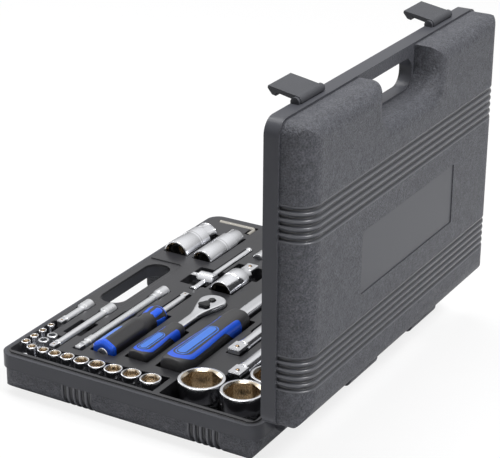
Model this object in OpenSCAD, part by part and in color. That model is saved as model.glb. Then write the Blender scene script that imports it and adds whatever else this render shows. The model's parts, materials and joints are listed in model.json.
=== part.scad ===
// Socket wrench set in a hinged moulded case, with the lid standing open.
// X runs along the hinge, +Y is the hinge side, -Y the handle side, +Z up.
// The origin is the middle of the face that the case rests on.

/* [Case] */
// Width of the case along the hinge
case_w = 385; // [383:1:400]
// Depth of the case from the hinge to the handle
case_d = 277.5; // [274:0.5:292]
// Height of each half
half_h = 42; // [41:0.5:50]
// Height of the smooth band at the rim
band_h = 14; // [12:0.5:16]
// Step from the band in to the textured skin
band_step = 2; // [1.8:0.1:2.4]
// Plan radius of the corners
corner_r = 14; // [12:1:18]
// Radius of the outer edges on the short sides
edge_r = 20; // [16:1:22]
// Radius of the outer edge on the handle side
edge_front = 15; // [13:1:20]
// Radius of the outer edge on the hinge side
edge_back = 26; // [20:1:27]
// Step from the band in to the textured skin on the hinge side
back_step = 0.8; // [0.6:0.1:1.2]
// Wall of the outer skins
skin = 3; // [2.6:0.1:3.4]
// Gap between the two rims when the lid is shut
rim_gap = 0.3; // [0.2:0.1:0.6]

/* [Handle] */
// Length of the finger slot
slot_w = 102; // [90:1:110]
// Width of the finger slot
slot_d = 28; // [24:1:29]
// Width of the grip bar in front of the slot
grip_bar = 11.6; // [11:0.1:14]
// Set-back of the outer skin from the slot's ends
scoop_out = 4; // [3:0.5:4]
// Rounding of the outer skin around the slot
scoop_r = 14; // [10:1:16]
// Plan radius of the scoop's inner corners
scoop_corner = 19; // [18:0.5:20]
// Plan radius of the slot's corners
slot_r = 13; // [12:0.5:13.5]

/* [Ribs and label] */
// Grooves in each band of ribs
rib_count = 5; // [3:1:7]
// Pitch of the grooves
rib_pitch = 6.6; // [6:0.1:7.5]
// Depth of the grooves
rib_depth = 1.5; // [1:0.1:1.8]
// Width of the grooves at the skin
rib_mouth = 5.4; // [4:0.1:5.8]
// Width of the grooves at the bottom
rib_bottom = 0.9; // [0.6:0.1:1.2]
// Middle of the band near the hinge, from the hinge side
rib_low = 55.2; // [50:0.2:62]
// Middle of the band near the handle, from the hinge side
rib_high = 190.6; // [184:0.2:196]
// Width of the bare label field on the lid
label_w = 188; // [150:1:200]
// Height of the bare label field
label_d = 59; // [40:1:62]
// Middle of the label field, from the hinge side
label_at = 123.7; // [116:0.1:130]
// Depth of the label field
label_depth = 0.8; // [0.5:0.1:1.2]
// Length of each standing foot along the hinge side
foot_w = 53; // [40:1:58]
// Distance of each standing foot from the middle
foot_x = 63; // [55:1:66]
// Height that each standing foot reaches above the rim's plane
foot_top = 33; // [30:1:35]

/* [Hinge] */
// Distance of the hinge axis behind the case
hinge_out = 3.3; // [2.8:0.1:3.8]
// Outer radius of the knuckles
knuckle_r = 4.2; // [4:0.1:4.6]
// Radius of the hinge pins
pin_r = 1.6; // [1.4:0.1:1.8]
// Distance of each hinge from the middle
hinge_x = 135; // [124:1:140]
// Length of each hinge
hinge_w = 50; // [42:1:54]
// Angle of the open lid
lid_angle = 90; // [90:1:90]

/* [Latches] */
// Distance of each latch from the middle
latch_x = 127; // [115:1:135]
// Width of each latch
latch_w = 38; // [34:1:46]
// Outer radius of the latch's knuckle
latch_r = 4.4; // [4:0.1:4.5]
// Radius of the bar that the latch turns on
bar_r = 1.8; // [1.6:0.1:2]
// Outward tilt of the latches at rest
latch_tilt = 12; // [6:1:20]

/* [Tray] */
// Wall of the tray's moulding
tray_t = 1.5; // [1.2:0.1:1.8]
// Height of the tray's top over the rim
tray_rise = 1.2; // [0.8:0.1:1.5]
// Thickness of the tray's top
tray_top_t = 2.4; // [2:0.1:3]
// Set-back of the seat that holds the inner mouldings
ledge_in = 3.5; // [3.2:0.1:3.8]
// Depth of that seat under the rim
ledge_depth = 3; // [2.6:0.1:3.4]
// Set-back of the tray's raised top
tongue_in = 5.5; // [5.3:0.1:6]
// Room around a tool in its pocket
room = 0.8; // [0.6:0.1:1]
// Gap between a tool and the floor that it lies on
seat = 0.3; // [0.2:0.1:0.4]
// Depth of the lid's inner recess
liner_depth = 24; // [20:1:28]

/* [Sockets] */
// Sizes across flats of the small sockets
small_af = [4, 4.5, 5, 5.5, 6, 7, 8, 9, 10, 11, 12, 13, 14];
// Sizes across flats of the large sockets
large_af = [32, 30, 27, 24, 22, 19, 17, 14, 12, 10];
// Length of the small sockets
small_len = 25; // [23:0.5:26]
// Diameter of the small sockets' drive end
small_drive_d = 12; // [11.6:0.1:12.2]
// Smallest diameter of the large sockets' drive end
large_drive_d = 22; // [21:0.1:22.5]
// Height of the small sockets' mouths over the rim
small_proud = 4; // [2:0.5:6]
// Small square drive
small_sq = 6.35; // [6.35:0.01:6.35]
// Large square drive
large_sq = 12.7; // [12.7:0.01:12.7]
// Extra width of a female square
sq_room = 0.15; // [0.1:0.05:0.3]
// Radius of the spark plug sockets
spark_r = [14, 11.5];
// Length of the spark plug sockets
spark_len = [63, 70];
// Sizes across flats of the spark plug sockets
spark_af = [21, 16];

/* [Drive tools] */
// Length of the short small extension
ext50_len = 51; // [48:1:52]
// Length of the long small extension
ext100_len = 100; // [96:1:101]
// Length of the flexible extension
flex_len = 150; // [145:1:152]
// Length of the short large extension
ext125_len = 125; // [115:1:128]
// Length of the long large extension
ext250_len = 250; // [240:1:252]
// Length of the spinner handle
spinner_len = 147; // [144:1:149]
// Length of the small ratchet
small_ratchet_len = 148; // [144:1:149]
// Length of the large ratchet
large_ratchet_len = 250; // [244:1:252]
// Radius of the small ratchet's head
small_head_r = 14; // [13:0.5:14.5]
// Radius of the large ratchet's head
large_head_r = 19; // [18:0.5:20]
// Length of the sliding T-bar
tbar_len = 113; // [110:1:115]
// Radius of the T-bar's rod
tbar_r = 3; // [2.8:0.1:3.2]
// Length of the universal joint
joint_len = 66; // [64:1:68]
// Radius of the universal joint
joint_r = 13; // [12:0.5:13.5]
// Thickness of the hexagon key
key_t = 4; // [3:0.5:4.5]
// Long arm of the hexagon key
key_long = 46; // [40:1:48]
// Short arm of the hexagon key
key_short = 16; // [14:1:18]
// Radial clearance of a turning fit
turn = 0.05; // [0.03:0.01:0.09]

/* [Hidden] */
$fn = 48;
eps = 0.01;

small_names = ["4", "4_5", "5", "5_5", "6", "7", "8", "9", "10", "11", "12", "13", "14"];

// Levels
axis_z = half_h;                      // centre line of the tools that lie down
tray_z = half_h + tray_rise;          // top of the tray
small_top = half_h + small_proud;     // mouths of the small sockets
floor_z = skin + 0.6 + tray_t + seat; // lowest that a tool can stand
hinge_y = case_d / 2 + hinge_out;     // hinge axis
hinge_z = half_h + rim_gap / 2;
inset = band_step + skin;             // from the band's face to the inside of the wall
wall_gap = 0.2;                       // between the walls and the inner mouldings
tub_in = inset + wall_gap;            // from the band's face to the tray's walls

front = -case_d / 2;                  // handle side
back = case_d / 2;                    // hinge side

// Handle slot
slot_y0 = front + grip_bar;
slot_y1 = slot_y0 + slot_d;
scoop_x = slot_w / 2 + scoop_out;
scoop_y = slot_y1 + band_step;

// Layout: edges that the rows line up with
small_edge_x = case_w / 2 - 14.4;
front_in_y = front + tub_in + tray_t;
front_row_y = front_in_y + room + small_drive_d / 2 - 0.2;
small_gap = 1.1;
corner_step = 6.2;
large_edge_x = case_w / 2 - 22.5;
large_edge_y = back - 15.5;
large_gap = 3;

// Sizes of the sockets
function small_od(af) = 1.32 * af + 1.5;
function small_w(af) = max(small_drive_d, small_od(af));
function large_od(af) = 1.31 * af + 1.3;
function large_drive(af) = af < 24 ? large_drive_d : large_od(af) * 0.7;
function large_w(af) = max(large_drive(af), large_od(af));
function large_len(af) = af > 28 ? 43 : af > 20 ? 40 : 38;
function large_top(af) = floor_z + 43;

// Centre of small socket i: four in front of the corner, then along the side
front_n = 4;
side_y0 = front_row_y + sqrt(pow(small_drive_d + 0.8, 2) - pow(corner_step, 2));
function small_y(i) = i <= front_n ? (i < front_n ? front_row_y : side_y0)
    : small_y(i - 1) + (small_w(small_af[i - 1]) + small_w(small_af[i])) / 2 + small_gap;
function small_x(i) = i < front_n
    ? small_edge_x - small_drive_d / 2 - corner_step - (front_n - 1 - i) * (small_drive_d + small_gap)
    : small_edge_x - small_w(small_af[i]) / 2;

// Centre of large socket i: two along the side, then along the hinge side
large_y0 = front + 195;
function large_x(i) = i < 2 ? large_edge_x - large_w(large_af[0]) / 2
    : i == 2 ? large_x(1) - (large_w(large_af[1]) + large_w(large_af[2])) / 2 - 0.5
    : large_x(i - 1) - (large_w(large_af[i - 1]) + large_w(large_af[i])) / 2 - large_gap;
function large_y(i) = i == 0 ? large_y0
    : i == 1 ? large_y0 + (large_w(large_af[0]) + large_w(large_af[1])) / 2 + 0.6
    : large_edge_y - large_w(large_af[i]) / 2;

// Places of the tools that lie down: each runs along X from x0
ext50_p = [64.5, front_row_y + 1.6];
ext100_p = [60.5, front + 38.5];
flex_p = [1, front + 61];
spinner_p = [-2, front + 85];
small_ratchet_p = [140, front + 119];
large_ratchet_p = [141, front + 157.5];
ext125_p = [85.5, front + 190.5];
ext250_p = [125.5, front + 214.5];
spark_p = [[-80.5, front_in_y + room + spark_r[0]], [-79.5, front + 54]];
joint_p = [-23.5, front + 110.5];
tbar_p = [-15, front + 83.1];
tbar_head_x = tbar_p[0] - 29;
key_p = [-case_w / 2 + 14.5, front + 17];
adapter_p = [-112.5, front + 102];
coupler_p = [[143.5, front + 27], [155.7, front + 26]];
coupler_r = 5;
coupler_len = 25;
small_r = small_drive_d / 2;
large_r = large_drive_d / 2;

// ---------- shared shapes ----------

// Rectangle with round corners, centred
module rounded(w, d, r) {
    square([w - 2 * r, d], center = true);
    square([w, d - 2 * r], center = true);
    for (sx = [-1, 1], sy = [-1, 1])
        translate([sx * (w / 2 - r), sy * (d / 2 - r)]) circle(r);
}

// Section of a half from x0 to x1: flat sides from low to the two round upper corners
module arch(x0, x1, h, r0, r1, low) {
    mid = (x0 + x1) / 2;
    translate([x0, low]) square([mid - x0, h - r0 - low]);
    translate([mid, low]) square([x1 - mid, h - r1 - low]);
    translate([x0 + r0, low]) square([x1 - x0 - r0 - r1, h - low]);
    translate([x0 + r0, h - r0]) circle(r0);
    translate([x1 - r1, h - r1]) circle(r1);
}

// Extrudes a section drawn in X and Z along Y, and one in Y and Z along X
module along_y(len) rotate([90, 0, 0]) linear_extrude(height = len, center = true) children();
module along_x(len) rotate([90, 0, 90]) linear_extrude(height = len, center = true) children();

// Turns a profile drawn as [along, radius] about the X axis
module turned() rotate([90, 0, 90]) rotate_extrude() children();

module at(p, z = axis_z) translate([p[0], p[1], z]) children();

// Turned shaft from x = 0 towards +X: list of [x, radius]
module spindle(steps) rotate([0, 90, 0]) rotate_extrude()
    polygon(concat([[0, steps[0][0]]], [for (s = steps) [s[1], s[0]]],
        [[0, steps[len(steps) - 1][0]]]));

// Male square from x = 0 to len, with its spring ball on top
module drive_square(sq, len) {
    translate([0, -sq / 2, -sq / 2]) cube([len - 0.6, sq, sq]);
    translate([len - 0.6 - eps, -sq / 2 + 0.6, -sq / 2 + 0.6]) cube([0.6, sq - 1.2, sq - 1.2]);
    translate([len * 0.55, 0, sq / 2 - sq * 0.1]) sphere(sq * 0.16);
}

// Female square opening towards -X at x = 0
module female_square(sq, len) {
    s = sq + sq_room;
    translate([-1, -s / 2, -s / 2]) cube([len + 1, s, s]);
}

module hex_hole(af, depth) rotate(30) cylinder(r = af / 2 / cos(30), h = depth, $fn = 6);

// ---------- case halves, drawn with the rim at z = 0 and the outside at z = half_h ----------

// How far a round corner stands back from a sharp one along the diagonal, for a radius of 1
diagonal = sqrt(2) - 1;
mitre_gap = 0.4;
mitre_round = 0.85;

// Textured body, taken in by i on every side
module body_form(i, low) {
    half_w = case_w / 2 - band_step - i;
    y0 = front + band_step + i;
    y1 = back - back_step - i;
    plan_r = corner_r - band_step - i;
    intersection() {
        translate([0, (y0 + y1) / 2, low]) linear_extrude(height = half_h - low)
            rounded(2 * half_w, y1 - y0, plan_r);
        // arches across the diagonals take the mitres off the outer corners
        for (s = [-1, 1]) translate([0, (y0 + y1) / 2, 0])
            rotate(s * 45) along_x(2 * case_w) arch(
                -(half_w + (y1 - y0) / 2) * sqrt(0.5) + plan_r * diagonal - mitre_gap,
                (half_w + (y1 - y0) / 2) * sqrt(0.5) - plan_r * diagonal + mitre_gap,
                half_h - i, (edge_r + edge_front) * mitre_round - i, edge_r - i, low);
        along_y(case_d) arch(-half_w, half_w, half_h - i, edge_r - i, edge_r - i, low);
        along_x(case_w) arch(y0, y1, half_h - i, edge_front - i, edge_back - i, low);
    }
}

// Flare of the scoop: fills outside a round edge, drawn from the wall at x = 0
module flare_section(r) difference() {
    translate([-1, 0]) square([r + 1, r + 5]);
    translate([r, 0]) circle(r);
}

// Scoop that leaves room for fingers behind the grip bar, grown by g
module scoop(g, low) {
    hw = scoop_x + g;
    r = scoop_r - g;
    c = scoop_corner + g;
    y1 = scoop_y + g;
    reach = case_d / 2 + 20 + y1;
    flare_z = half_h - scoop_r;
    translate([0, y1 - reach / 2, low]) linear_extrude(height = half_h + 6 - low) {
        translate([0, -c / 2]) square([2 * hw, reach - c], center = true);
        square([2 * (hw - c), reach], center = true);
        for (s = [-1, 1]) translate([s * (hw - c), reach / 2 - c]) circle(c);
    }
    translate([0, y1, flare_z]) rotate([90, 0, 90]) linear_extrude(height = 2 * (hw - c), center = true)
        flare_section(r);
    for (s = [-1, 1]) {
        translate([0, y1 - c - (reach - c) / 2, flare_z]) rotate([90, 0, 0])
            linear_extrude(height = reach - c, center = true)
                translate([s * hw, 0]) mirror([s < 0 ? 1 : 0, 0]) flare_section(r);
        translate([s * (hw - c), y1 - c, flare_z]) rotate(s > 0 ? 0 : 90)
            rotate_extrude(angle = 90) translate([c, 0]) flare_section(r);
    }
}

// Finger slot through the band
module finger_slot() translate([0, (slot_y0 + slot_y1) / 2, -1])
    linear_extrude(height = half_h) rounded(slot_w, slot_d, slot_r);

// Half widths of a groove at its depths, from the skin to the bottom
rib_flank = [for (p = [[1, 1], [0, 1], [-0.3, 0.55], [-0.7, 0.2], [-1, 0]])
    [p[0] * rib_depth, (rib_bottom + p[1] * (rib_mouth - rib_bottom)) / 2]];

// Section of a groove at radius r: outwards in x, across in y
module groove_section(r) polygon(concat([for (p = rib_flank) [r + p[0], p[1]]],
    [for (k = [len(rib_flank) - 1:-1:0]) [r + rib_flank[k][0], -rib_flank[k][1]]]));

// One groove over the face and down both short sides, its middle at y = 0
rib_half = case_w / 2 - band_step - edge_r;
module rib_groove() rotate([90, 0, 0]) for (s = [0, 1]) mirror([s, 0, 0])
    translate([rib_half, half_h - edge_r, 0]) {
        rotate_extrude(angle = 90) groove_section(edge_r);
        rotate([90, 0, 0]) linear_extrude(height = half_h - edge_r - band_h) groove_section(edge_r);
        translate([-rib_half, 0, 0]) rotate([90, 0, 90]) linear_extrude(height = rib_half)
            groove_section(edge_r);
    }

// Bands of grooves
module rib_grooves() for (v = [rib_low, rib_high], k = [0:rib_count - 1])
    translate([0, case_d / 2 - v + (k - (rib_count - 1) / 2) * rib_pitch, 0]) rib_groove();

// Standing feet on the hinge side
foot_out = 1;
module feet() for (s = [-1, 1]) intersection() {
    along_x(case_w) arch(front, back + foot_out, foot_top, 7, 7, 2);
    translate([s * foot_x, case_d / 2 - 5, 0]) linear_extrude(height = half_h)
        rounded(foot_w, 14, 3);
}

// Plan of the case taken in by i
module plan(i) rounded(case_w - 2 * i, case_d - 2 * i, max(corner_r - i, 2));

// Solid part of each half around the finger slot, grown by g
zone_x = scoop_x + skin;
zone_y = scoop_y + skin;
module zone_plan(g) translate([0, front])
    rounded(2 * (zone_x + g), 2 * (zone_y + g - front), 6 + g);
module handle_zone(g) translate([0, 0, -2]) linear_extrude(height = band_h + 1) zone_plan(g);

module half_shell() difference() {
    union() {
        linear_extrude(height = band_h) rounded(case_w, case_d, corner_r);
        body_form(0, 1);
        feet();
    }
    difference() {
        body_form(skin, -1);
        handle_zone(0);
        scoop(skin, band_h - skin);
    }
    translate([0, 0, -1]) linear_extrude(height = ledge_depth + 1) plan(ledge_in);
    scoop(0, band_h);
    finger_slot();
    rib_grooves();
}

// Knuckle along the hinge from x0 to x1, on the hinge axis
module knuckle_bar(r, x0, x1) translate([x0, hinge_y, hinge_z]) rotate([0, 90, 0])
    cylinder(r = r, h = x1 - x0);

// Ends of the base's two knuckles on one hinge
knuckle_mid = hinge_w / 4;
knuckle_gap = 0.4;
function base_knuckles(s) = [
    [s * hinge_x - hinge_w / 2, s * hinge_x - knuckle_mid - knuckle_gap],
    [s * hinge_x + knuckle_mid + knuckle_gap, s * hinge_x + hinge_w / 2]];

// Block under each knuckle of the base, with the stop that the open lid stands on
block_out = 9.4;
block_low = 31;
module hinge_block(len) {
    w = block_out + 1;
    translate([0, back - 1, block_low]) cube([len, w, half_h - block_low]);
    translate([0, back - 1 + w / 2, block_low]) rotate([0, 90, 0]) cylinder(r = w / 2, h = len);
    translate([0, back + rim_gap, half_h - eps])
        cube([len, block_out - rim_gap, hinge_z + hinge_out - rim_gap - half_h + eps]);
}

module base_shell() color("#4a4b50") difference() {
    union() {
        difference() {
            translate([0, 0, half_h]) mirror([0, 0, 1]) half_shell();
            for (s = [-1, 1])
                knuckle_bar(knuckle_r + 0.5, s * hinge_x - knuckle_mid - knuckle_gap,
                    s * hinge_x + knuckle_mid + knuckle_gap);
        }
        for (s = [-1, 1], k = base_knuckles(s)) {
            knuckle_bar(knuckle_r, k[0], k[1]);
            translate([k[0], 0, 0]) hinge_block(k[1] - k[0]);
        }
    }
    for (s = [-1, 1]) knuckle_bar(pin_r, s * hinge_x - hinge_w, s * hinge_x + hinge_w);
}

// Puts what is drawn on the shut lid where the open lid stands
module open_lid() translate([0, hinge_y, hinge_z]) rotate([-lid_angle, 0, 0])
    translate([0, -hinge_y, -hinge_z]) children();

latch_y = front - 1.6;
latch_z = half_h + rim_gap + 4;
ear_t = 3;

module lid_shell() color("#4a4b50") open_lid() difference() {
    union() {
        difference() {
            translate([0, 0, half_h + rim_gap]) half_shell();
            // bare label field
            translate([0, case_d / 2 - label_at, 2 * half_h + rim_gap - label_depth])
                linear_extrude(height = 5) rounded(label_w, label_d, 2);
            for (s = [-1, 1], k = base_knuckles(s))
                knuckle_bar(knuckle_r + 0.5, k[0] - knuckle_gap, k[1] + knuckle_gap);
            for (s = [-1, 1]) translate([s * latch_x, latch_y, latch_z]) rotate([0, 90, 0])
                cylinder(r = latch_r + 0.6, h = latch_w + 1, center = true);
        }
        for (s = [-1, 1]) {
            knuckle_bar(knuckle_r, s * hinge_x - knuckle_mid, s * hinge_x + knuckle_mid);
            translate([s * hinge_x - knuckle_mid, back - 2, hinge_z])
                cube([2 * knuckle_mid, 2 + hinge_out, knuckle_r]);
            // bar and ears of the latch
            translate([s * latch_x, latch_y, latch_z]) rotate([0, 90, 0]) {
                cylinder(r = bar_r, h = latch_w + 2 * ear_t, center = true);
                for (e = [-1, 1]) translate([0, 0, e * (latch_w + 1 + ear_t) / 2])
                    cylinder(r = latch_r - 0.4, h = ear_t, center = true);
            }
        }
    }
    for (s = [-1, 1]) knuckle_bar(pin_r + turn, s * hinge_x - hinge_w, s * hinge_x + hinge_w);
}

module hinge_pins() color("#b8bac0")
    for (s = [-1, 1]) knuckle_bar(pin_r, s * hinge_x - hinge_w / 2 + 0.5, s * hinge_x + hinge_w / 2 - 0.5);

// Latch drawn in Y and Z about its pivot, shut, then tilted out; its hook catches under the base's band
catch_z = half_h - band_h - latch_z - 0.4;
module latch(x) color("#4d4e53") open_lid() translate([x, latch_y, latch_z]) rotate([-latch_tilt, 0, 0])
    rotate([90, 0, -90]) linear_extrude(height = latch_w, center = true) difference() {
        union() {
            circle(latch_r);
            polygon([[0.2, -3.8], [0.2, catch_z], [-3, catch_z - 0.3], [-3, catch_z - 4], [0.4, -27.2],
                [1.2, -28], [3.2, -28], [3.8, -16], [4.1, -8], [latch_r, 0]]);
        }
        circle(bar_r + turn);
    }
module latch_near() latch(latch_x);
module latch_far() latch(-latch_x);

// Space inside a half's wall, taken in by i, from z0 to z1, less what is drawn in plan
module tub(i, z0, z1) intersection() {
    body_form(skin + wall_gap + i, -3);
    translate([0, 0, z0]) linear_extrude(height = z1 - z0) difference() {
        square([case_w, case_d], center = true);
        children();
    }
}

// Lid's inner moulding: a plate on the seat and a tub that clears the tools
module lid_liner() color("#3b3c40") open_lid() translate([0, 0, half_h + rim_gap]) {
    plate_z = tray_rise + 0.3;
    difference() {
        union() {
            translate([0, 0, plate_z]) linear_extrude(height = ledge_depth - plate_z) plan(ledge_in + 0.1);
            tub(0, plate_z, plate_z + liner_depth + tray_t) zone_plan(0.3);
        }
        tub(tray_t, -1, plate_z + liner_depth) zone_plan(0.3 + tray_t);
        finger_slot();
    }
}

// ---------- tray ----------

// Pocket with round corners from x0 to x1 and y0 to y1, its floor at z, grown by g
module pocket(x0, x1, y0, y1, z, g) translate([(x0 + x1) / 2, (y0 + y1) / 2, z - g])
    linear_extrude(height = tray_z + 1 - z + (g > 0 ? -1.4 : 0))
        rounded(x1 - x0 + 2 * g, y1 - y0 + 2 * g, 1.6 + g);

// Pocket for a tool lying along X: half width hw around y
module slot(x0, x1, y, hw, r, g)
    pocket(x0, x1, y - hw - room, y + hw + room, axis_z - r - seat, g);

module cup(x, y, r, z, g) translate([x, y, z - g])
    cylinder(r = r + room + g, h = tray_z + 1 - z + (g > 0 ? -1.4 : 0));

trough_x = case_w / 2 - 9;
trough_small_z = 28;
trough_large_z = 20;

module small_pockets(g) {
    pocket(113, trough_x, front_in_y, front_in_y + 13.4, trough_small_z, g);
    pocket(coupler_p[0][0] - 7, trough_x, front_in_y + 12, front + 34, trough_small_z, g);
    translate([0, 0, trough_small_z - g])
        linear_extrude(height = tray_z + 1 - trough_small_z + (g > 0 ? -1.4 : 0))
            polygon([[163.5 - g, front + 32.5 - g], [trough_x + g, front + 32.5 - g],
                [trough_x + g, front + 165.5 + g], [154 - g, front + 165.5 + g]]);
    for (i = [0:len(small_af) - 1])
        cup(small_x(i), small_y(i), small_r, small_top - small_len - seat, g);
    for (p = coupler_p) cup(p[0], p[1], coupler_r, small_top - coupler_len - seat, g);
}

module large_pockets(g) {
    pocket(124, trough_x, large_y0 - 23, back - 7.6, trough_large_z, g);
    pocket(large_x(9) - 13, trough_x - 3, front + 224.9, back - 7.6, trough_large_z, g);
    for (i = [0:len(large_af) - 1])
        cup(large_x(i), large_y(i), large_drive(large_af[i]) / 2,
            large_top(large_af[i]) - large_len(large_af[i]) - seat, g);
}

module lying_pockets(g) {
    // small extensions and the flexible one
    slot(ext50_p[0] - room, ext50_p[0] + 16, ext50_p[1], small_r, small_r, g);
    slot(ext50_p[0] + 12, ext50_p[0] + ext50_len + room, ext50_p[1], 4.8, 4.8, g);
    slot(ext100_p[0] - room, ext100_p[0] + 16, ext100_p[1], small_r, small_r, g);
    slot(ext100_p[0] + 12, ext100_p[0] + ext100_len + room, ext100_p[1], 4.8, 4.8, g);
    slot(ext100_p[0] + 38, ext100_p[0] + 68, ext100_p[1], 9.5, 9, g);
    slot(flex_p[0] - room, flex_p[0] + 24, flex_p[1], small_r, small_r, g);
    slot(flex_p[0] + 20, flex_p[0] + flex_len + room, flex_p[1], 5, 5, g);
    slot(flex_p[0] + 60, flex_p[0] + 88, flex_p[1], 6.4, 9, g);
    // spinner handle
    slot(spinner_p[0] - room, spinner_p[0] + 56, spinner_p[1], 5, 5, g);
    slot(spinner_p[0] + 50 - room, spinner_p[0] + spinner_len + room, spinner_p[1], 13.2, 13.2, g);
    // large extensions
    for (e = [[ext125_p, ext125_len], [ext250_p, ext250_len]]) {
        x0 = e[0][0] - e[1];
        slot(x0 - room, x0 + 33, e[0][1], large_r, large_r, g);
        slot(x0 + 30, e[0][0] + room, e[0][1], 7.5, 7.5, g);
        slot(x0 + e[1] / 2 - 14, x0 + e[1] / 2 + 14, e[0][1], 9.8, 12, g);
    }
    // spark plug sockets
    for (i = [0, 1])
        slot(spark_p[i][0] - spark_len[i] - room, spark_p[i][0] + room, spark_p[i][1], spark_r[i],
            spark_r[i], g);
    // universal joint, with room to swing its square end
    slot(joint_p[0] - joint_len - room - 2, joint_p[0] + room, joint_p[1], joint_r, joint_r, g);
    slot(joint_p[0] - joint_len - room - 2, joint_p[0] - 38, joint_p[1], joint_r + 5.5, joint_r, g);
    // sliding T-bar, with room to slide its head
    slot(tbar_p[0] - tbar_len - room, tbar_p[0] + room, tbar_p[1], tbar_r + 0.8, tbar_r + 0.8, g);
    pocket(tbar_head_x - 21, tbar_head_x + 21, tbar_p[1] - 20.5, tbar_p[1] + 9.8, axis_z - 8 - seat, g);
    // hexagon key
    pocket(key_p[0] - key_t / 2 - room, key_p[0] + key_t / 2 + room, key_p[1] - room,
        key_p[1] + key_long + room, axis_z - key_t / 2 - seat, g);
    pocket(key_p[0] - key_t / 2 - room, key_p[0] + key_short + room,
        key_p[1] + key_long - key_t - 2 - room, key_p[1] + key_long + room, axis_z - key_t / 2 - seat, g);
    // adapter
    slot(adapter_p[0] - 38 - room, adapter_p[0] + room, adapter_p[1], 6.2, 6.2, g);
    ratchet_pocket(small_ratchet_p, small_ratchet_len, small_head_r, small_sq, 72, 12, g);
    ratchet_pocket(large_ratchet_p, large_ratchet_len, large_head_r, large_sq, 124, 16, g);
}

module pockets(g) {
    small_pockets(g);
    large_pockets(g);
    lying_pockets(g);
}

// Keeps what is drawn to the space inside the base's wall, taken in by i
module in_base(i) intersection() {
    translate([0, 0, half_h]) mirror([0, 0, 1]) body_form(skin + wall_gap + i, -3);
    children();
}

module tool_tray() color("#333438") difference() {
    union() {
        translate([0, 0, tray_z - tray_top_t]) linear_extrude(height = tray_top_t - tray_rise)
            plan(ledge_in + 0.1);
        translate([0, 0, half_h - eps]) linear_extrude(height = tray_rise + eps) difference() {
            plan(tongue_in);
            zone_plan(0.5);
        }
        translate([0, 0, half_h - ledge_depth]) linear_extrude(height = ledge_depth - 1) difference() {
            plan(ledge_in + 0.1);
            plan(ledge_in + 3.6);
        }
        translate([0, (slot_y0 + slot_y1) / 2, half_h - ledge_depth]) linear_extrude(height = ledge_depth - 1)
            rounded(slot_w + 4, slot_d + 4, slot_r + 2);
        in_base(0) pockets(tray_t);
    }
    in_base(tray_t) pockets(0);
    translate([0, (slot_y0 + slot_y1) / 2, 0]) linear_extrude(height = 2 * half_h)
        rounded(slot_w, slot_d, slot_r);
}

// ---------- sockets ----------

// Socket standing on its drive end at z = 0, its hexagon mouth up
module socket(af, od, drive_d, sq, len, deep) {
    ro = od / 2;
    rd = drive_d / 2;
    hex_r = af / 2 / cos(30);
    neck = len * 0.5;
    rise = neck + abs(ro - rd) * 0.9 + 0.6;
    sq_deep = sq * 1.45;
    difference() {
        rotate_extrude() polygon([[0, 0], [rd - 0.6, 0], [rd, 0.6], [rd, neck - 1.6], [rd - 0.5, neck - 1.1],
            [rd - 0.5, neck], [ro, rise], [ro, len - 0.5], [ro - 0.5, len], [0, len]]);
        translate([0, 0, len - deep]) hex_hole(af, deep + 1);
        translate([0, 0, len - 1.2]) cylinder(r1 = af / 2 - 0.2, r2 = hex_r + 0.35, h = 1.21);
        translate([-(sq + sq_room) / 2, -(sq + sq_room) / 2, -1]) cube([sq + sq_room, sq + sq_room, sq_deep + 1]);
        translate([0, 0, sq_deep - 1]) cylinder(r = min(sq * 0.44, af * 0.4), h = len - deep - sq_deep + 2);
    }
}

module small_socket(i) color("#c9cbd0") at([small_x(i), small_y(i)], small_top - small_len)
    socket(small_af[i], small_od(small_af[i]), small_drive_d, small_sq, small_len,
        small_af[i] < 8 ? 9 : 11);

module large_socket(i) color("#c9cbd0") at([large_x(i), large_y(i)], large_top(0) - large_len(large_af[i]))
    socket(large_af[i], large_od(large_af[i]), large_drive(large_af[i]), large_sq, large_len(large_af[i]),
        large_len(large_af[i]) * 0.42);

module small_socket_4() small_socket(0);
module small_socket_4_5() small_socket(1);
module small_socket_5() small_socket(2);
module small_socket_5_5() small_socket(3);
module small_socket_6() small_socket(4);
module small_socket_7() small_socket(5);
module small_socket_8() small_socket(6);
module small_socket_9() small_socket(7);
module small_socket_10() small_socket(8);
module small_socket_11() small_socket(9);
module small_socket_12() small_socket(10);
module small_socket_13() small_socket(11);
module small_socket_14() small_socket(12);
module large_socket_32() large_socket(0);
module large_socket_30() large_socket(1);
module large_socket_27() large_socket(2);
module large_socket_24() large_socket(3);
module large_socket_22() large_socket(4);
module large_socket_19() large_socket(5);
module large_socket_17() large_socket(6);
module large_socket_14() large_socket(7);
module large_socket_12() large_socket(8);
module large_socket_10() large_socket(9);

// Deep socket lying with its mouth at x = 0 and its square end towards -X
module spark_socket(i) color("#c9cbd0") at(spark_p[i]) {
    r = spark_r[i];
    n = spark_len[i];
    mid = n * 0.5;
    difference() {
        mirror([1, 0, 0]) union() {
            spindle([[0, r - 0.7], [0.7, r], [mid - 3, r], [mid - 2.4, r - 0.6], [mid - 1.2, r - 0.6],
                [mid - 0.6, r], [mid + 0.6, r], [mid + 1.2, r - 0.6], [mid + 2.4, r - 0.6], [mid + 3, r],
                [n - 16, r], [n - 14.5, r - 1.2], [n - 0.7, r - 1.2], [n, r - 1.9]]);
        }
        rotate([0, -90, 0]) translate([0, 0, -1]) hex_hole(spark_af[i] - 0.1, 21);
        rotate([0, -90, 0]) translate([0, 0, -0.01]) cylinder(r1 = spark_af[i] / 2 / cos(30) + 0.4,
            r2 = spark_af[i] / 2 - 0.2, h = 2);
        rotate([0, -90, 0]) translate([0, 0, 19]) cylinder(r = spark_af[i] / 2 - 0.6, h = n - 37);
        rotate([0, -90, 0]) translate([0, 0, n - 19]) cylinder(r = 5, h = 8);
        translate([-n, 0, 0]) female_square(large_sq, 16);
    }
}
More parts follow.
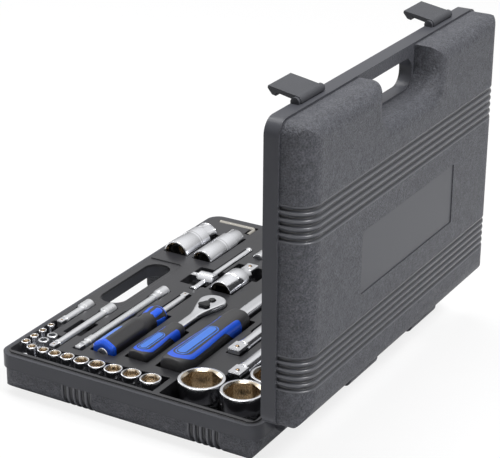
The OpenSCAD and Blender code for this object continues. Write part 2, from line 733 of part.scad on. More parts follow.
module spark_socket_21() spark_socket(0);
module spark_socket_16() spark_socket(1);

// ---------- extensions ----------

// Extension with its female end at x = 0 and its square towards +X
module extension(n, fr, sr, sq, fl) {
    sl = sq * 1.3;
    difference() {
        spindle([[0, fr - 0.6], [0.6, fr], [fl, fr], [fl + (fr - sr) * 0.9, sr], [n - sl - 4, sr],
            [n - sl - 3.4, sr + 0.5], [n - sl - 0.5, sr + 0.5], [n - sl, sr]]);
        female_square(sq, sq * 1.4);
    }
    translate([n - sl - 0.1, 0, 0]) drive_square(sq, sl + 0.1);
}

module small_extension_50() color("#c9cbd0") at(ext50_p) extension(ext50_len, small_r, 4, small_sq, 13);
module small_extension_100() color("#c9cbd0") at(ext100_p) extension(ext100_len, small_r, 4, small_sq, 13);
module large_extension_125() color("#c9cbd0") at([ext125_p[0] - ext125_len, ext125_p[1]])
    extension(ext125_len, large_r, 7, large_sq, 28);
module large_extension_250() color("#c9cbd0") at([ext250_p[0] - ext250_len, ext250_p[1]])
    extension(ext250_len, large_r, 7, large_sq, 28);

flex_a = 22;
flex_b = flex_len - 26;
module flex_ends() color("#c9cbd0") at(flex_p) {
    difference() {
        spindle([[0, small_r - 0.6], [0.6, small_r], [13, small_r], [14, 5], [flex_a - 0.5, 5], [flex_a, 4.6]]);
        female_square(small_sq, 9);
        translate([flex_a - 6, 0, 0]) rotate([0, 90, 0]) cylinder(r = 3 + turn, h = 7);
    }
    difference() {
        spindle([for (p = [[0, 4.6], [0.5, 5], [9, 5], [9.8, 4], [14, 4], [14.6, 4.7], [17.5, 4.7], [17.8, 4]])
            [flex_b + p[0], p[1]]]);
        translate([flex_b - 1, 0, 0]) rotate([0, 90, 0]) cylinder(r = 3 + turn, h = 7);
    }
    translate([flex_b + 17.7, 0, 0]) drive_square(small_sq, flex_len - flex_b - 17.7);
}
module flex_cable() color("#8e9097") at(flex_p)
    spindle([[flex_a - 5.5, 3], [flex_a, 3], [flex_a, 4.2], [flex_b, 4.2], [flex_b, 3], [flex_b + 5.5, 3]]);

// ---------- spinner handle, its square at x = 0 and its end towards +X ----------

grip_x = 50;
module spinner_grip() color("#26282d") at(spinner_p) difference() {
    n = spinner_len;
    spindle([[grip_x, 8.5], [grip_x + 1.5, 10.2], [grip_x + 8, 11], [grip_x + 18, 10], [grip_x + 26, 9.4],
        [grip_x + 32, 10.6], [grip_x + 38, 12.6], [grip_x + 44, 13.2], [n - 14, 13.2], [n - 13, 12.6],
        [n - 11, 12.6], [n - 10, 13.2], [n - 3, 12.6], [n, 10.6]]);
    for (k = [0:7]) rotate([k * 45 + 22.5, 0, 0]) translate([grip_x + 48, 0, 15.6]) rotate([0, 90, 0])
        cylinder(r = 4, h = n - grip_x - 66);
    translate([grip_x - 1, 0, 0]) rotate([0, 90, 0]) cylinder(r = 3.5 + turn, h = 26);
    translate([n - 14, 0, 0]) rotate([0, 90, 0]) cylinder(r = 6 + turn, h = 15);
}
module spinner_shaft() color("#c9cbd0") at(spinner_p) {
    spindle([[8.2, 3.2], [8.6, 3.5], [grip_x - 3, 3.5], [grip_x - 2.5, 4.8], [grip_x, 4.8], [grip_x, 3.5],
        [grip_x + 24, 3.5]]);
    translate([8.3, 0, 0]) mirror([1, 0, 0]) drive_square(small_sq, 8.3);
}
module spinner_insert() color("#c9cbd0") at(spinner_p) translate([spinner_len, 0, 0]) difference() {
    spindle([[-14, 6], [-0.5, 6], [0.4, 5.4]]);
    translate([1, 0, 0]) mirror([1, 0, 0]) female_square(small_sq, 11);
}

// ---------- ratchets, head centre at x = 0, handle towards +X, faces up and down ----------

// Radius of the boss that carries the square, and heights in the head
function boss_r(sq) = sq * 0.72 + 1.2;
function head_lo(hr) = -hr * 0.42;
function head_hi(hr) = hr * 0.36;
function gear_lo(hr) = head_lo(hr) + 1.6;
function gear_hi(hr) = head_hi(hr) - 1.8;
button_r = 3;
button_up = 1.5;
button_travel = 1.5;

module head_plan(hr, g) {
    circle(hr + g);
    polygon([[hr * 0.4, -hr * 0.915 - g], [hr * 2.35, -hr * 0.36 - g], [hr * 2.35, hr * 0.36 + g],
        [hr * 0.4, hr * 0.915 + g]]);
}

// Handle end at n from the head centre, covered by the grip from n - grip
module ratchet_body(n, hr, sq, grip) difference() {
    union() {
        translate([0, 0, head_lo(hr)]) linear_extrude(height = head_hi(hr) - head_lo(hr)) head_plan(hr, 0);
        spindle([[hr * 2.1, hr * 0.33], [n - grip - 2.5, hr * 0.33], [n - grip - 2.5, hr * 0.44],
            [n - grip, hr * 0.44], [n - grip, hr * 0.33], [n - grip + grip * 0.7, hr * 0.33]]);
    }
    translate([0, 0, gear_lo(hr) - 0.1]) cylinder(r = boss_r(sq) + 2 + turn, h = gear_hi(hr) - gear_lo(hr) + 0.2);
    translate([0, 0, head_lo(hr) - 1]) cylinder(r = boss_r(sq) + turn, h = 5);
    cylinder(r = button_r + turn, h = hr);
    translate([hr * 1.4, 0, head_hi(hr) - 3.2]) cylinder(r = hr * 0.16 + turn, h = 5);
    // shallow ring around the button
    translate([0, 0, head_hi(hr) - 0.5]) difference() {
        cylinder(r = hr * 0.82, h = 2);
        translate([0, 0, -1]) cylinder(r = hr * 0.76, h = 4);
    }
}

// Turning gear with its boss, square and ball
module ratchet_gear(hr, sq) difference() {
    union() {
        translate([0, 0, gear_lo(hr)]) cylinder(r = boss_r(sq) + 2, h = gear_hi(hr) - gear_lo(hr));
        translate([0, 0, head_lo(hr) - 1.2]) cylinder(r = boss_r(sq), h = gear_lo(hr) - head_lo(hr) + 2);
        translate([0, 0, head_lo(hr) - 1.1]) rotate([0, 90, 0]) drive_square(sq, sq * 1.35);
    }
    translate([0, 0, gear_lo(hr) + 1]) cylinder(r = button_r + turn, h = hr);
}

module ratchet_button(hr) translate([0, 0, gear_lo(hr) + 1 + button_travel + seat])
    rotate_extrude() polygon([[0, 0], [button_r, 0],
        [button_r, head_hi(hr) + button_up - 0.5 - gear_lo(hr) - 1 - button_travel - seat],
        [button_r - 0.5, head_hi(hr) + button_up - gear_lo(hr) - 1 - button_travel - seat],
        [0, head_hi(hr) + button_up - gear_lo(hr) - 1 - button_travel - seat]]);

module ratchet_lever(hr) translate([hr * 1.4, 0, head_hi(hr)]) {
    translate([0, 0, -3]) cylinder(r = hr * 0.16, h = 4);
    translate([0, 0, 0.3]) linear_extrude(height = hr * 0.15) {
        circle(hr * 0.27);
        translate([-hr * 0.34, 0]) circle(hr * 0.16);
        translate([-hr * 0.34, -hr * 0.16]) square([hr * 0.3, hr * 0.32]);
    }
}

// Soft grip with flat faces for a bare oval field
module ratchet_grip(n, hr, grip, gr) difference() {
    a = n - grip;
    t = gr * 0.74;
    intersection() {
        spindle([[a, gr * 0.66], [a + 1.5, gr * 0.76], [a + grip * 0.12, gr * 0.8], [a + grip * 0.3, gr * 0.78],
            [a + grip * 0.6, gr * 0.94], [a + grip * 0.8, gr], [n - gr * 0.35, gr * 0.96], [n - 1.5, gr * 0.72],
            [n, gr * 0.6]]);
        translate([a - 1, -gr - 1, -t]) cube([grip + 2, 2 * gr + 2, 2 * t]);
    }
    translate([a - 1, 0, 0]) rotate([0, 90, 0]) cylinder(r = hr * 0.33 + turn, h = grip * 0.7 + 2);
}

// Bed of a ratchet in the tray
module ratchet_pocket(p, n, hr, sq, grip, gr, g) {
    c = p[0] - n + hr;
    h = tray_z + 1 - axis_z + (g > 0 ? -1.4 : 0);
    translate([c, p[1], axis_z + head_lo(hr) - seat - g])
        linear_extrude(height = h - head_lo(hr) + seat) head_plan(hr, room + g);
    cup(c, p[1], boss_r(sq) + 1, axis_z + head_lo(hr) - 1.1 - sq * 1.35 - seat, g);
    slot(c + hr * 2, p[0] - grip + 3, p[1], hr * 0.44, hr * 0.44, g);
    slot(p[0] - grip - room, p[0] + room, p[1], gr, gr * 0.74, g);
}

module small_ratchet() at([small_ratchet_p[0] - small_ratchet_len + small_head_r, small_ratchet_p[1]]) children();
module large_ratchet() at([large_ratchet_p[0] - large_ratchet_len + large_head_r, large_ratchet_p[1]]) children();
small_n = small_ratchet_len - small_head_r;
large_n = large_ratchet_len - large_head_r;

module small_ratchet_body() color("#c9cbd0") small_ratchet() ratchet_body(small_n, small_head_r, small_sq, 72);
module small_ratchet_grip() color("#26282d") small_ratchet() ratchet_grip(small_n, small_head_r, 72, 12);
module small_ratchet_gear() color("#b4b6bc") small_ratchet() ratchet_gear(small_head_r, small_sq);
module small_ratchet_lever() color("#2a2b2e") small_ratchet() ratchet_lever(small_head_r);
module small_ratchet_button() color("#b4b6bc") small_ratchet() ratchet_button(small_head_r);
module large_ratchet_body() color("#c9cbd0") large_ratchet() ratchet_body(large_n, large_head_r, large_sq, 124);
module large_ratchet_grip() color("#26282d") large_ratchet() ratchet_grip(large_n, large_head_r, 124, 16);
module large_ratchet_gear() color("#b4b6bc") large_ratchet() ratchet_gear(large_head_r, large_sq);
module large_ratchet_lever() color("#2a2b2e") large_ratchet() ratchet_lever(large_head_r);
module large_ratchet_button() color("#b4b6bc") large_ratchet() ratchet_button(large_head_r);

// ---------- universal joint, socket mouth at x = 0, square towards -X ----------

joint_c = -joint_len * 0.5;           // centre of the cross
ear_t2 = 4.6;                         // thickness of the forks' ears
cross_in = joint_r - ear_t2 - 1.2;    // inner faces of the ears
joint_pin = 2.6;

// Fork about the cross: body from x = reach towards the centre, ears across Z
module fork(reach) difference() {
    intersection() {
        rotate([0, 90, 0]) cylinder(r = joint_r, h = 2 * reach, center = true);
        union() {
            translate([cross_in + 5, -joint_r, -joint_r]) cube([reach, 2 * joint_r, 2 * joint_r]);
            for (s = [-1, 1]) translate([0, 0, s > 0 ? cross_in : -joint_r]) {
                cylinder(r = 6.4, h = joint_r - cross_in);
                translate([0, -6.4, 0]) cube([cross_in + 6, 12.8, joint_r - cross_in]);
            }
        }
        translate([-7, -joint_r, -joint_r + 0.7]) cube([reach + 7, 2 * joint_r, 2 * joint_r - 1.4]);
    }
    cylinder(r = joint_pin + turn, h = 3 * joint_r, center = true);
}

module joint_socket_end() color("#c9cbd0") at(joint_p) translate([joint_c, 0, 0]) difference() {
    fork(-joint_c);
    translate([-joint_c, 0, 0]) mirror([1, 0, 0]) female_square(large_sq, 15);
    translate([-joint_c - 17, 0, 0]) rotate([0, 90, 0]) difference() {
        cylinder(r = joint_r + 1, h = 2);
        translate([0, 0, -1]) cylinder(r = joint_r - 0.7, h = 4);
    }
}
module joint_cross() color("#a9abb1") at(joint_p) translate([joint_c, 0, 0]) {
    translate([-5, -5, -cross_in + 0.3]) cube([10, 10, 2 * cross_in - 0.6]);
    translate([-5, -cross_in + 0.3, -5]) cube([10, 2 * cross_in - 0.6, 10]);
    cylinder(r = joint_pin, h = 2 * joint_r - 2.4, center = true);
    rotate([90, 0, 0]) cylinder(r = joint_pin, h = 2 * joint_r - 2.4, center = true);
}
module joint_drive_end() color("#c9cbd0") at(joint_p) translate([joint_c, 0, 0]) rotate([90, 0, 0]) mirror([1, 0, 0]) {
    fork(-joint_c - 16);
    translate([-joint_c - 16.1, 0, 0]) drive_square(large_sq, 16.1);
}

// ---------- sliding T-bar ----------

module tbar_rod() color("#c9cbd0") at(tbar_p) mirror([1, 0, 0])
    spindle([[0, tbar_r], [0.6, tbar_r + 0.8], [2.4, tbar_r + 0.8], [3, tbar_r], [tbar_len - 3, tbar_r],
        [tbar_len - 2.4, tbar_r + 0.8], [tbar_len - 0.6, tbar_r + 0.8], [tbar_len, tbar_r]]);
module tbar_head() color("#c9cbd0") at([tbar_head_x, tbar_p[1]]) difference() {
    rotate(-90) union() {
        spindle([[-9, 6.4], [-8, 7.6], [8, 7.6], [9.5, 6], [10, 6]]);
        translate([9.9, 0, 0]) drive_square(small_sq, 9);
    }
    rotate([0, 90, 0]) cylinder(r = tbar_r + turn, h = 40, center = true);
}

// ---------- small pieces ----------

module hex_bar(n) rotate([0, 90, 0]) rotate(30) cylinder(r = key_t / 2 / cos(30), h = n, $fn = 6);

// L shape: the long arm along +Y, a round bend, the short arm along +X
module hex_key() color("#b9b3a4") at(key_p) {
    bend = 4.5;
    bend_y = key_long - key_t / 2 - bend;
    rotate(90) hex_bar(bend_y + 0.2);
    translate([bend, bend_y, 0]) rotate(90) rotate_extrude(angle = 90)
        translate([bend, 0]) circle(r = key_t / 2 / cos(30) + 0.02, $fn = 6);
    translate([bend - 0.2, bend_y + bend, 0]) hex_bar(key_short - bend + 0.2);
}

module coupler(p) color("#c9cbd0") at(p, small_top - coupler_len) difference() {
    rotate_extrude() polygon([[0, 0], [coupler_r - 0.5, 0], [coupler_r, 0.5], [coupler_r, coupler_len - 0.5],
        [coupler_r - 0.5, coupler_len], [0, coupler_len]]);
    translate([0, 0, coupler_len - 11]) hex_hole(small_sq, 12);
    translate([0, 0, -1]) hex_hole(small_sq, 9);
}
module coupler_a() coupler(coupler_p[0]);
module coupler_b() coupler(coupler_p[1]);

// Adapter with its female end at x = 0 and its square towards -X
module bit_adapter() color("#c9cbd0") at(adapter_p) mirror([1, 0, 0]) {
    difference() {
        spindle([[0, 5.6], [0.6, 6.2], [13, 6.2], [14, 5], [20, 5], [21, 6.2], [28.5, 6.2], [29.2, 5.5]]);
        female_square(small_sq, 9);
    }
    translate([29.1, 0, 0]) drive_square(small_sq, 8.9);
}

base_shell();
tool_tray();
lid_shell();
lid_liner();
hinge_pins();
latch_near();
latch_far();
small_socket_4();
small_socket_4_5();
small_socket_5();
small_socket_5_5();
small_socket_6();
small_socket_7();
small_socket_8();
small_socket_9();
small_socket_10();
small_socket_11();
small_socket_12();
small_socket_13();
small_socket_14();
large_socket_32();
large_socket_30();
large_socket_27();
large_socket_24();
large_socket_22();
large_socket_19();
large_socket_17();
large_socket_14();
large_socket_12();
large_socket_10();
spark_socket_21();
spark_socket_16();
small_extension_50();
small_extension_100();
flex_ends();
flex_cable();
large_extension_125();
large_extension_250();
spinner_grip();
spinner_shaft();
spinner_insert();
small_ratchet_body();
small_ratchet_grip();
small_ratchet_gear();
small_ratchet_lever();
small_ratchet_button();
large_ratchet_body();
large_ratchet_grip();
large_ratchet_gear();
large_ratchet_lever();
large_ratchet_button();
joint_socket_end();
joint_cross();
joint_drive_end();
tbar_rod();
tbar_head();
hex_key();
coupler_a();
coupler_b();
bit_adapter();
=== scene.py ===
# Socket wrench set in its moulded case: the finish of every piece, and the turned and moulded
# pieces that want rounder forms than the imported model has. Metres, in the model's own frame.
import json
import math
import bpy
import bmesh
from mathutils import Matrix, Vector

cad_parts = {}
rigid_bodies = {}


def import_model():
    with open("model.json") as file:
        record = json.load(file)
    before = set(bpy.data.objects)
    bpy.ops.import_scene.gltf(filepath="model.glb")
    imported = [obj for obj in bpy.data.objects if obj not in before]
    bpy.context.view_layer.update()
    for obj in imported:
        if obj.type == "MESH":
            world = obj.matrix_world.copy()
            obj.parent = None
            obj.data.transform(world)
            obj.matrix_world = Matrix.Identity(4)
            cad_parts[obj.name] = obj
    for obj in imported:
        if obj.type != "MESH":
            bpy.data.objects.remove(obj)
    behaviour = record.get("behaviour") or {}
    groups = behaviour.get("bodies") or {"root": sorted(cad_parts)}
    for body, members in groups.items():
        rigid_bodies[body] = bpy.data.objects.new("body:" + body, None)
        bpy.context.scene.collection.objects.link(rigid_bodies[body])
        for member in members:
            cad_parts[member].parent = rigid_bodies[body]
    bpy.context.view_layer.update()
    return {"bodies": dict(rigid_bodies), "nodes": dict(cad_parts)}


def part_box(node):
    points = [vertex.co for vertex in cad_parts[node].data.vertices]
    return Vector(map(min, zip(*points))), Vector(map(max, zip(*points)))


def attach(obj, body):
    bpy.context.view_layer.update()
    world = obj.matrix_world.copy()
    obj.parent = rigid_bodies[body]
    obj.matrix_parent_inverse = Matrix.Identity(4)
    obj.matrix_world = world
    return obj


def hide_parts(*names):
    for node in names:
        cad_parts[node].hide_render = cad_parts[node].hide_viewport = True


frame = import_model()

scene = bpy.context.scene
nodes = frame["nodes"]
bodyNames = {empty.name: name for name, empty in frame["bodies"].items()}
mm = 0.001
print("model loaded:", len(nodes), "nodes")

# A long lens from behind the hinge corner
viewpoint = {"azimuth": 120.13, "elevation": 23.23, "roll": 0.43, "distance": 1.66895,
             "target": (0, 0.01887, 0.13034), "lens": 126.37}


def placeCamera(spec):
    data = bpy.data.cameras.new("camera")
    camera = bpy.data.objects.new("camera", data)
    scene.collection.objects.link(camera)
    turn, tilt, roll = (math.radians(spec[k]) for k in ("azimuth", "elevation", "roll"))
    back = Vector((math.sin(turn) * math.cos(tilt), -math.cos(turn) * math.cos(tilt), math.sin(tilt)))
    right = (-back).cross(Vector((0, 0, 1))).normalized()
    up = right.cross(-back)
    right, up = (right * math.cos(roll) + up * math.sin(roll),
                 up * math.cos(roll) - right * math.sin(roll))
    matrix = Matrix((right, up, back)).transposed().to_4x4()
    matrix.translation = Vector(spec["target"]) + back * spec["distance"]
    camera.matrix_world = matrix
    data.sensor_width = 36
    data.lens = spec["lens"]
    data.clip_start = 0.05
    scene.camera = camera


placeCamera(viewpoint)
print("camera placed")


def linear(code):
    parts = [int(code[i:i + 2], 16) / 255 for i in (1, 3, 5)]
    return [v / 12.92 if v <= 0.04045 else ((v + 0.055) / 1.055) ** 2.4 for v in parts] + [1.0]


# Adds a node; an input may be a value, a node (its first output) or a socket
def addNode(tree, kind, inputs=(), **settings):
    node = tree.nodes.new(kind)
    for name, value in settings.items():
        setattr(node, name, value)
    for key, value in dict(inputs).items():
        if isinstance(value, bpy.types.Node):
            value = value.outputs[0]
        if isinstance(value, bpy.types.NodeSocket):
            tree.links.new(value, node.inputs[key])
        else:
            node.inputs[key].default_value = value
    return node


def mathNode(tree, operation, a, b=0.0, c=None):
    inputs = {0: a, 1: b}
    if c is not None:
        inputs[2] = c
    return addNode(tree, "ShaderNodeMath", inputs, operation=operation)


def newMaterial(name, **sockets):
    material = bpy.data.materials.new(name)
    material.use_nodes = True
    tree = material.node_tree
    tree.nodes.clear()
    surface = addNode(tree, "ShaderNodeBsdfPrincipled",
                      {key.replace("_", " "): value for key, value in sockets.items()})
    addNode(tree, "ShaderNodeOutputMaterial", {"Surface": surface})
    place = addNode(tree, "ShaderNodeTexCoord").outputs["Object"]
    return material, tree, surface, place


def plug(tree, surface, **sources):
    for key, value in sources.items():
        tree.links.new(value.outputs[0] if isinstance(value, bpy.types.Node) else value,
                       surface.inputs[key.replace("_", " ")])


# ---- plastics ----

# Injection-moulded polypropylene, textured mould: matt charcoal with a leather-like grain,
# smooth on the band at the rim, the ribs and the label field
caseFinish = {"colour": "#3f4045", "shade": "#505156", "grain": 1.2 * mm, "grainHeight": 0.75 * mm,
              "roughness": (0.36, 0.5), "specular": 0.22, "edge": 0.7 * mm}


# Two groups of five grooves cross each half; the skin is smooth there, with painted shade down in the grooves and a
# painted highlight on the lands between them
grooves = {"pitch": 6.6 * mm, "reach": 16.6 * mm, "bottom": 0.4 * mm, "mouth": 2.7 * mm,
           "roughness": 0.33, "specular": 0.6,
           "base": (-51.85 * mm, 83.55 * mm), "lid": (100.7 * mm, 236.1 * mm)}


def casePlastic(name, smoothFrom, axis, ribAxis, centres, extra=None):
    spec = caseFinish
    material, tree, surface, place = newMaterial(name, IOR=1.49)
    axes = addNode(tree, "ShaderNodeSeparateXYZ", {0: place})
    # 1 on the grained skin, 0 on the smooth band
    beyond = addNode(tree, "ShaderNodeMapRange", {"Value": axes.outputs[axis], "From Min": smoothFrom[0],
                                                 "From Max": smoothFrom[1]})
    grained = beyond
    if extra:
        x = addNode(tree, "ShaderNodeMath", {0: axes.outputs[0]}, operation="ABSOLUTE")
        insideX = addNode(tree, "ShaderNodeMath", {0: x, 1: extra["halfWidth"]}, operation="LESS_THAN")
        z = addNode(tree, "ShaderNodeMath", {0: axes.outputs[2], 1: extra["middle"]}, operation="SUBTRACT")
        z = addNode(tree, "ShaderNodeMath", {0: z}, operation="ABSOLUTE")
        insideZ = addNode(tree, "ShaderNodeMath", {0: z, 1: extra["halfHeight"]}, operation="LESS_THAN")
        field = addNode(tree, "ShaderNodeMath", {0: insideX, 1: insideZ}, operation="MULTIPLY")
        outside = addNode(tree, "ShaderNodeMath", {0: 1.0, 1: field}, operation="SUBTRACT")
        grained = addNode(tree, "ShaderNodeMath", {0: grained, 1: outside}, operation="MULTIPLY")
    # distance from the middle of the group, then from the nearest groove
    along = mathNode(tree, "SUBTRACT", axes.outputs[ribAxis], (centres[0] + centres[1]) / 2)
    along = mathNode(tree, "SUBTRACT", mathNode(tree, "ABSOLUTE", along), (centres[1] - centres[0]) / 2)
    ribbed = mathNode(tree, "LESS_THAN", mathNode(tree, "ABSOLUTE", along), grooves["reach"])
    ribbed = mathNode(tree, "MULTIPLY", ribbed, beyond)
    plain = mathNode(tree, "SUBTRACT", 1.0, ribbed)
    beside = mathNode(tree, "PINGPONG", along, grooves["pitch"] / 2)
    rise = addNode(tree, "ShaderNodeMapRange", {"Value": beside, "From Min": grooves["bottom"],
                                               "From Max": grooves["mouth"]}, interpolation_type="SMOOTHSTEP")
    rise = mathNode(tree, "MAXIMUM", rise, plain)
    # painted shade and highlight: 0.3 times the colour at the groove bottoms, rising to 1.3 times on the lands between
    # the grooves
    shadow = addNode(tree, "ShaderNodeMapRange", {"Value": beside, "From Min": grooves["bottom"],
                                                 "From Max": grooves["mouth"] * 0.8, "To Min": 0.3,
                                                 "To Max": 1.3})
    shadow = addNode(tree, "ShaderNodeMix", {0: ribbed, 2: 1.0, 3: shadow})
    grained = mathNode(tree, "MULTIPLY", grained, plain)
    grain = addNode(tree, "ShaderNodeTexVoronoi", {"Vector": place, "Scale": 1 / spec["grain"]},
                    feature="SMOOTH_F1")
    fine = addNode(tree, "ShaderNodeTexNoise", {"Vector": place, "Scale": 0.8 / spec["grain"], "Detail": 4.0,
                                               "Roughness": 0.6, "Distortion": 0.4})
    height = addNode(tree, "ShaderNodeMath", {0: grain, 1: fine}, operation="ADD")
    height = addNode(tree, "ShaderNodeMath", {0: height, 1: grained}, operation="MULTIPLY")
    cloud = addNode(tree, "ShaderNodeTexNoise", {"Vector": place, "Scale": 170.0, "Detail": 5.0, "Roughness": 0.65})
    cloud = addNode(tree, "ShaderNodeMapRange", {"Value": cloud, "From Min": 0.33, "From Max": 0.67})
    cloud = mathNode(tree, "MULTIPLY", cloud, grained)
    colour = addNode(tree, "ShaderNodeMix", {0: cloud, 6: linear(spec["colour"]), 7: linear(spec["shade"])},
                     data_type="RGBA")
    speck = addNode(tree, "ShaderNodeMapRange", {"Value": fine, "From Min": 0.36, "From Max": 0.64,
                                                "To Min": 0.62, "To Max": 1.42})
    speck = addNode(tree, "ShaderNodeMix", {0: grained, 2: 1.0, 3: speck})
    # the painted groove shade and highlight are multiplied into the speckled colour here
    speck = mathNode(tree, "MULTIPLY", speck, shadow)
    colour = addNode(tree, "ShaderNodeVectorMath", {0: colour.outputs[2], 1: speck}, operation="MULTIPLY")
    rough = addNode(tree, "ShaderNodeMapRange", {"Value": grained, "To Min": spec["roughness"][0],
                                                "To Max": spec["roughness"][1]})
    rough = addNode(tree, "ShaderNodeMix", {0: ribbed, 2: rough, 3: grooves["roughness"]})
    shine = addNode(tree, "ShaderNodeMapRange", {"Value": ribbed, "To Min": spec["specular"],
                                                "To Max": grooves["specular"]})
    rounded = addNode(tree, "ShaderNodeBevel", {"Radius": spec["edge"]}, samples=4)
    normal = addNode(tree, "ShaderNodeBump", {"Height": height, "Distance": spec["grainHeight"],
                                             "Strength": 0.9, "Normal": rounded})
    normal = addNode(tree, "ShaderNodeBump", {"Height": rise, "Distance": 1.2 * mm, "Strength": 0.9,
                                             "Normal": normal})
    plug(tree, surface, Base_Color=colour, Roughness=rough, Normal=normal, Specular_IOR_Level=shine)
    return material


def plainPlastic(name, colour, shade, roughness, grain=0.8 * mm, height=0.03 * mm, edge=0.5 * mm, **more):
    material, tree, surface, place = newMaterial(name, IOR=1.5, **more)
    cloud = addNode(tree, "ShaderNodeTexNoise", {"Vector": place, "Scale": 40.0, "Detail": 5.0})
    tint = addNode(tree, "ShaderNodeMix", {0: cloud, 6: linear(colour), 7: linear(shade)}, data_type="RGBA")
    rough = addNode(tree, "ShaderNodeMapRange", {"Value": cloud, "From Min": 0.3, "From Max": 0.7,
                                                "To Min": roughness[0], "To Max": roughness[1]})
    fine = addNode(tree, "ShaderNodeTexNoise", {"Vector": place, "Scale": 1 / grain, "Detail": 2.0})
    rounded = addNode(tree, "ShaderNodeBevel", {"Radius": edge}, samples=4)
    normal = addNode(tree, "ShaderNodeBump", {"Height": fine, "Distance": height, "Normal": rounded})
    plug(tree, surface, Base_Color=tint.outputs[2], Roughness=rough, Normal=normal)
    return material


# ---- metals ----

# Metal with faint brush or polish marks; stretch gives their length along each axis
def plainMetal(name, colour, shade, roughness, marks=0.5 * mm, stretch=(1, 1, 1), height=0.008 * mm,
               edge=0.25 * mm):
    material, tree, surface, place = newMaterial(name, Metallic=1.0)
    along = addNode(tree, "ShaderNodeMapping", {"Vector": place, "Scale": [1 / s for s in stretch]})
    brush = addNode(tree, "ShaderNodeTexNoise", {"Vector": along, "Scale": 1 / marks, "Detail": 4.0})
    cloud = addNode(tree, "ShaderNodeTexNoise", {"Vector": place, "Scale": 90.0, "Detail": 5.0})
    tint = addNode(tree, "ShaderNodeMix", {0: cloud, 6: linear(colour), 7: linear(shade)}, data_type="RGBA")
    both = addNode(tree, "ShaderNodeMath", {0: brush, 1: cloud}, operation="ADD")
    rough = addNode(tree, "ShaderNodeMapRange", {"Value": both, "From Min": 0.6, "From Max": 1.4,
                                                "To Min": roughness[0], "To Max": roughness[1]})
    rounded = addNode(tree, "ShaderNodeBevel", {"Radius": edge}, samples=4)
    normal = addNode(tree, "ShaderNodeBump", {"Height": brush, "Distance": height, "Normal": rounded})
    plug(tree, surface, Base_Color=tint.outputs[2], Roughness=rough, Normal=normal)
    return material


# Where the grain begins: below the band of the base, behind the band of the open lid
grainEdge = {"base": 28 * mm, "lid": 156.2 * mm, "blend": 0.5 * mm}
labelField = {"halfWidth": 94 * mm, "halfHeight": 29.5 * mm, "middle": 169.15 * mm}

polypropyleneBase = casePlastic("polypropyleneBase", (grainEdge["base"] + grainEdge["blend"],
                                                      grainEdge["base"] - grainEdge["blend"]), 2,
                                1, grooves["base"])
polypropyleneLid = casePlastic("polypropyleneLid", (grainEdge["lid"] - grainEdge["blend"],
                                                    grainEdge["lid"] + grainEdge["blend"]), 1,
                               2, grooves["lid"], labelField)
# Smoother polypropylene of the inner mouldings: satin, soft reflections along the pocket edges
trayPlastic = plainPlastic("polypropyleneTray", "#29292c", "#303033", (0.28, 0.38), grain=1.6 * mm,
                           height=0.03 * mm, edge=1.1 * mm, Specular_IOR_Level=0.4)
latchPlastic = plainPlastic("polypropyleneLatch", "#38393d", "#414246", (0.42, 0.52), height=0.2 * mm,
                            edge=0.6 * mm, Specular_IOR_Level=0.25)
# Black nitrile rubber: soft, nearly matt
nitrileRubber = plainPlastic("nitrileRubber", "#141416", "#1c1c1e", (0.6, 0.75), height=0.05 * mm)
# Glass-filled nylon of levers and buttons: black with a low shine
blackNylon = plainPlastic("blackNylon", "#101113", "#17181a", (0.3, 0.42), Specular_IOR_Level=0.3)
# ABS coloured in the mass, polished mould: deep blue with a clear shine
blueAbs = plainPlastic("blueAbs", "#175cec", "#1f65f2", (0.25, 0.35), edge=0.4 * mm)
lightBlueAbs = plainPlastic("lightBlueAbs", "#3f80ec", "#4989f0", (0.28, 0.38), edge=0.4 * mm)

# Chrome plate over polished steel: mirror-like, a little cloudy where it was tumbled
chromePlate = plainMetal("chromePlate", "#dcdde0", "#d4d5d9", (0.14, 0.22), marks=2.5 * mm, height=0.002 * mm)
# Satin chrome over turned steel: marks run round the shaft
satinChrome = plainMetal("satinChrome", "#d6d7d9", "#cdced1", (0.26, 0.34), marks=3 * mm, height=0.001 * mm)
# Thin nickel in the broached bores: warm grey, duller than the chrome
boreNickel = plainMetal("boreNickel", "#cdc2b2", "#b8aa96", (0.2, 0.32), marks=1.5 * mm, stretch=(1, 1, 5),
                        height=0.003 * mm)
# Darker, duller metal in the square mouth and countersink of the universal joint
darkMouthMetal = plainMetal("darkMouthMetal", "#5b564e", "#48443d", (0.22, 0.36), marks=2 * mm)
# Nickel plate on the bent key: pale and even
paleNickel = plainMetal("paleNickel", "#d0ccc4", "#c2beb5", (0.2, 0.3))
# Zinc-plated steel pins: grey, drawn along their length
drawnSteel = plainMetal("drawnSteel", "#a9abae", "#96989c", (0.3, 0.42), stretch=(6, 0.5, 0.5))
# Detent balls, hardened and slightly browned
ballSteel = plainMetal("ballSteel", "#8a7358", "#7a6650", (0.15, 0.25))


# Wound wire cable: one ridge for each turn of wire, 1.2 mm wide
def cableSteel():
    material, tree, surface, place = newMaterial("woundCable", Metallic=1.0)
    turns = addNode(tree, "ShaderNodeTexWave", {"Vector": place, "Scale": 0.314 / (1.0 * mm)},
                    bands_direction="X")
    # painted shade and highlight: the colour is darker down between the turns, where the bump is low, and lighter on
    # their ridges
    tint = addNode(tree, "ShaderNodeMix", {0: turns, 6: linear("#c4c6c9"), 7: linear("#d2d4d6")},
                   data_type="RGBA")
    normal = addNode(tree, "ShaderNodeBump", {"Height": turns, "Distance": 0.02 * mm})
    rough = addNode(tree, "ShaderNodeMapRange", {"Value": turns, "To Min": 0.4, "To Max": 0.25})
    plug(tree, surface, Base_Color=tint.outputs[2], Roughness=rough, Normal=normal)
    return material


woundCable = cableSteel()
print("materials made:", len(bpy.data.materials))

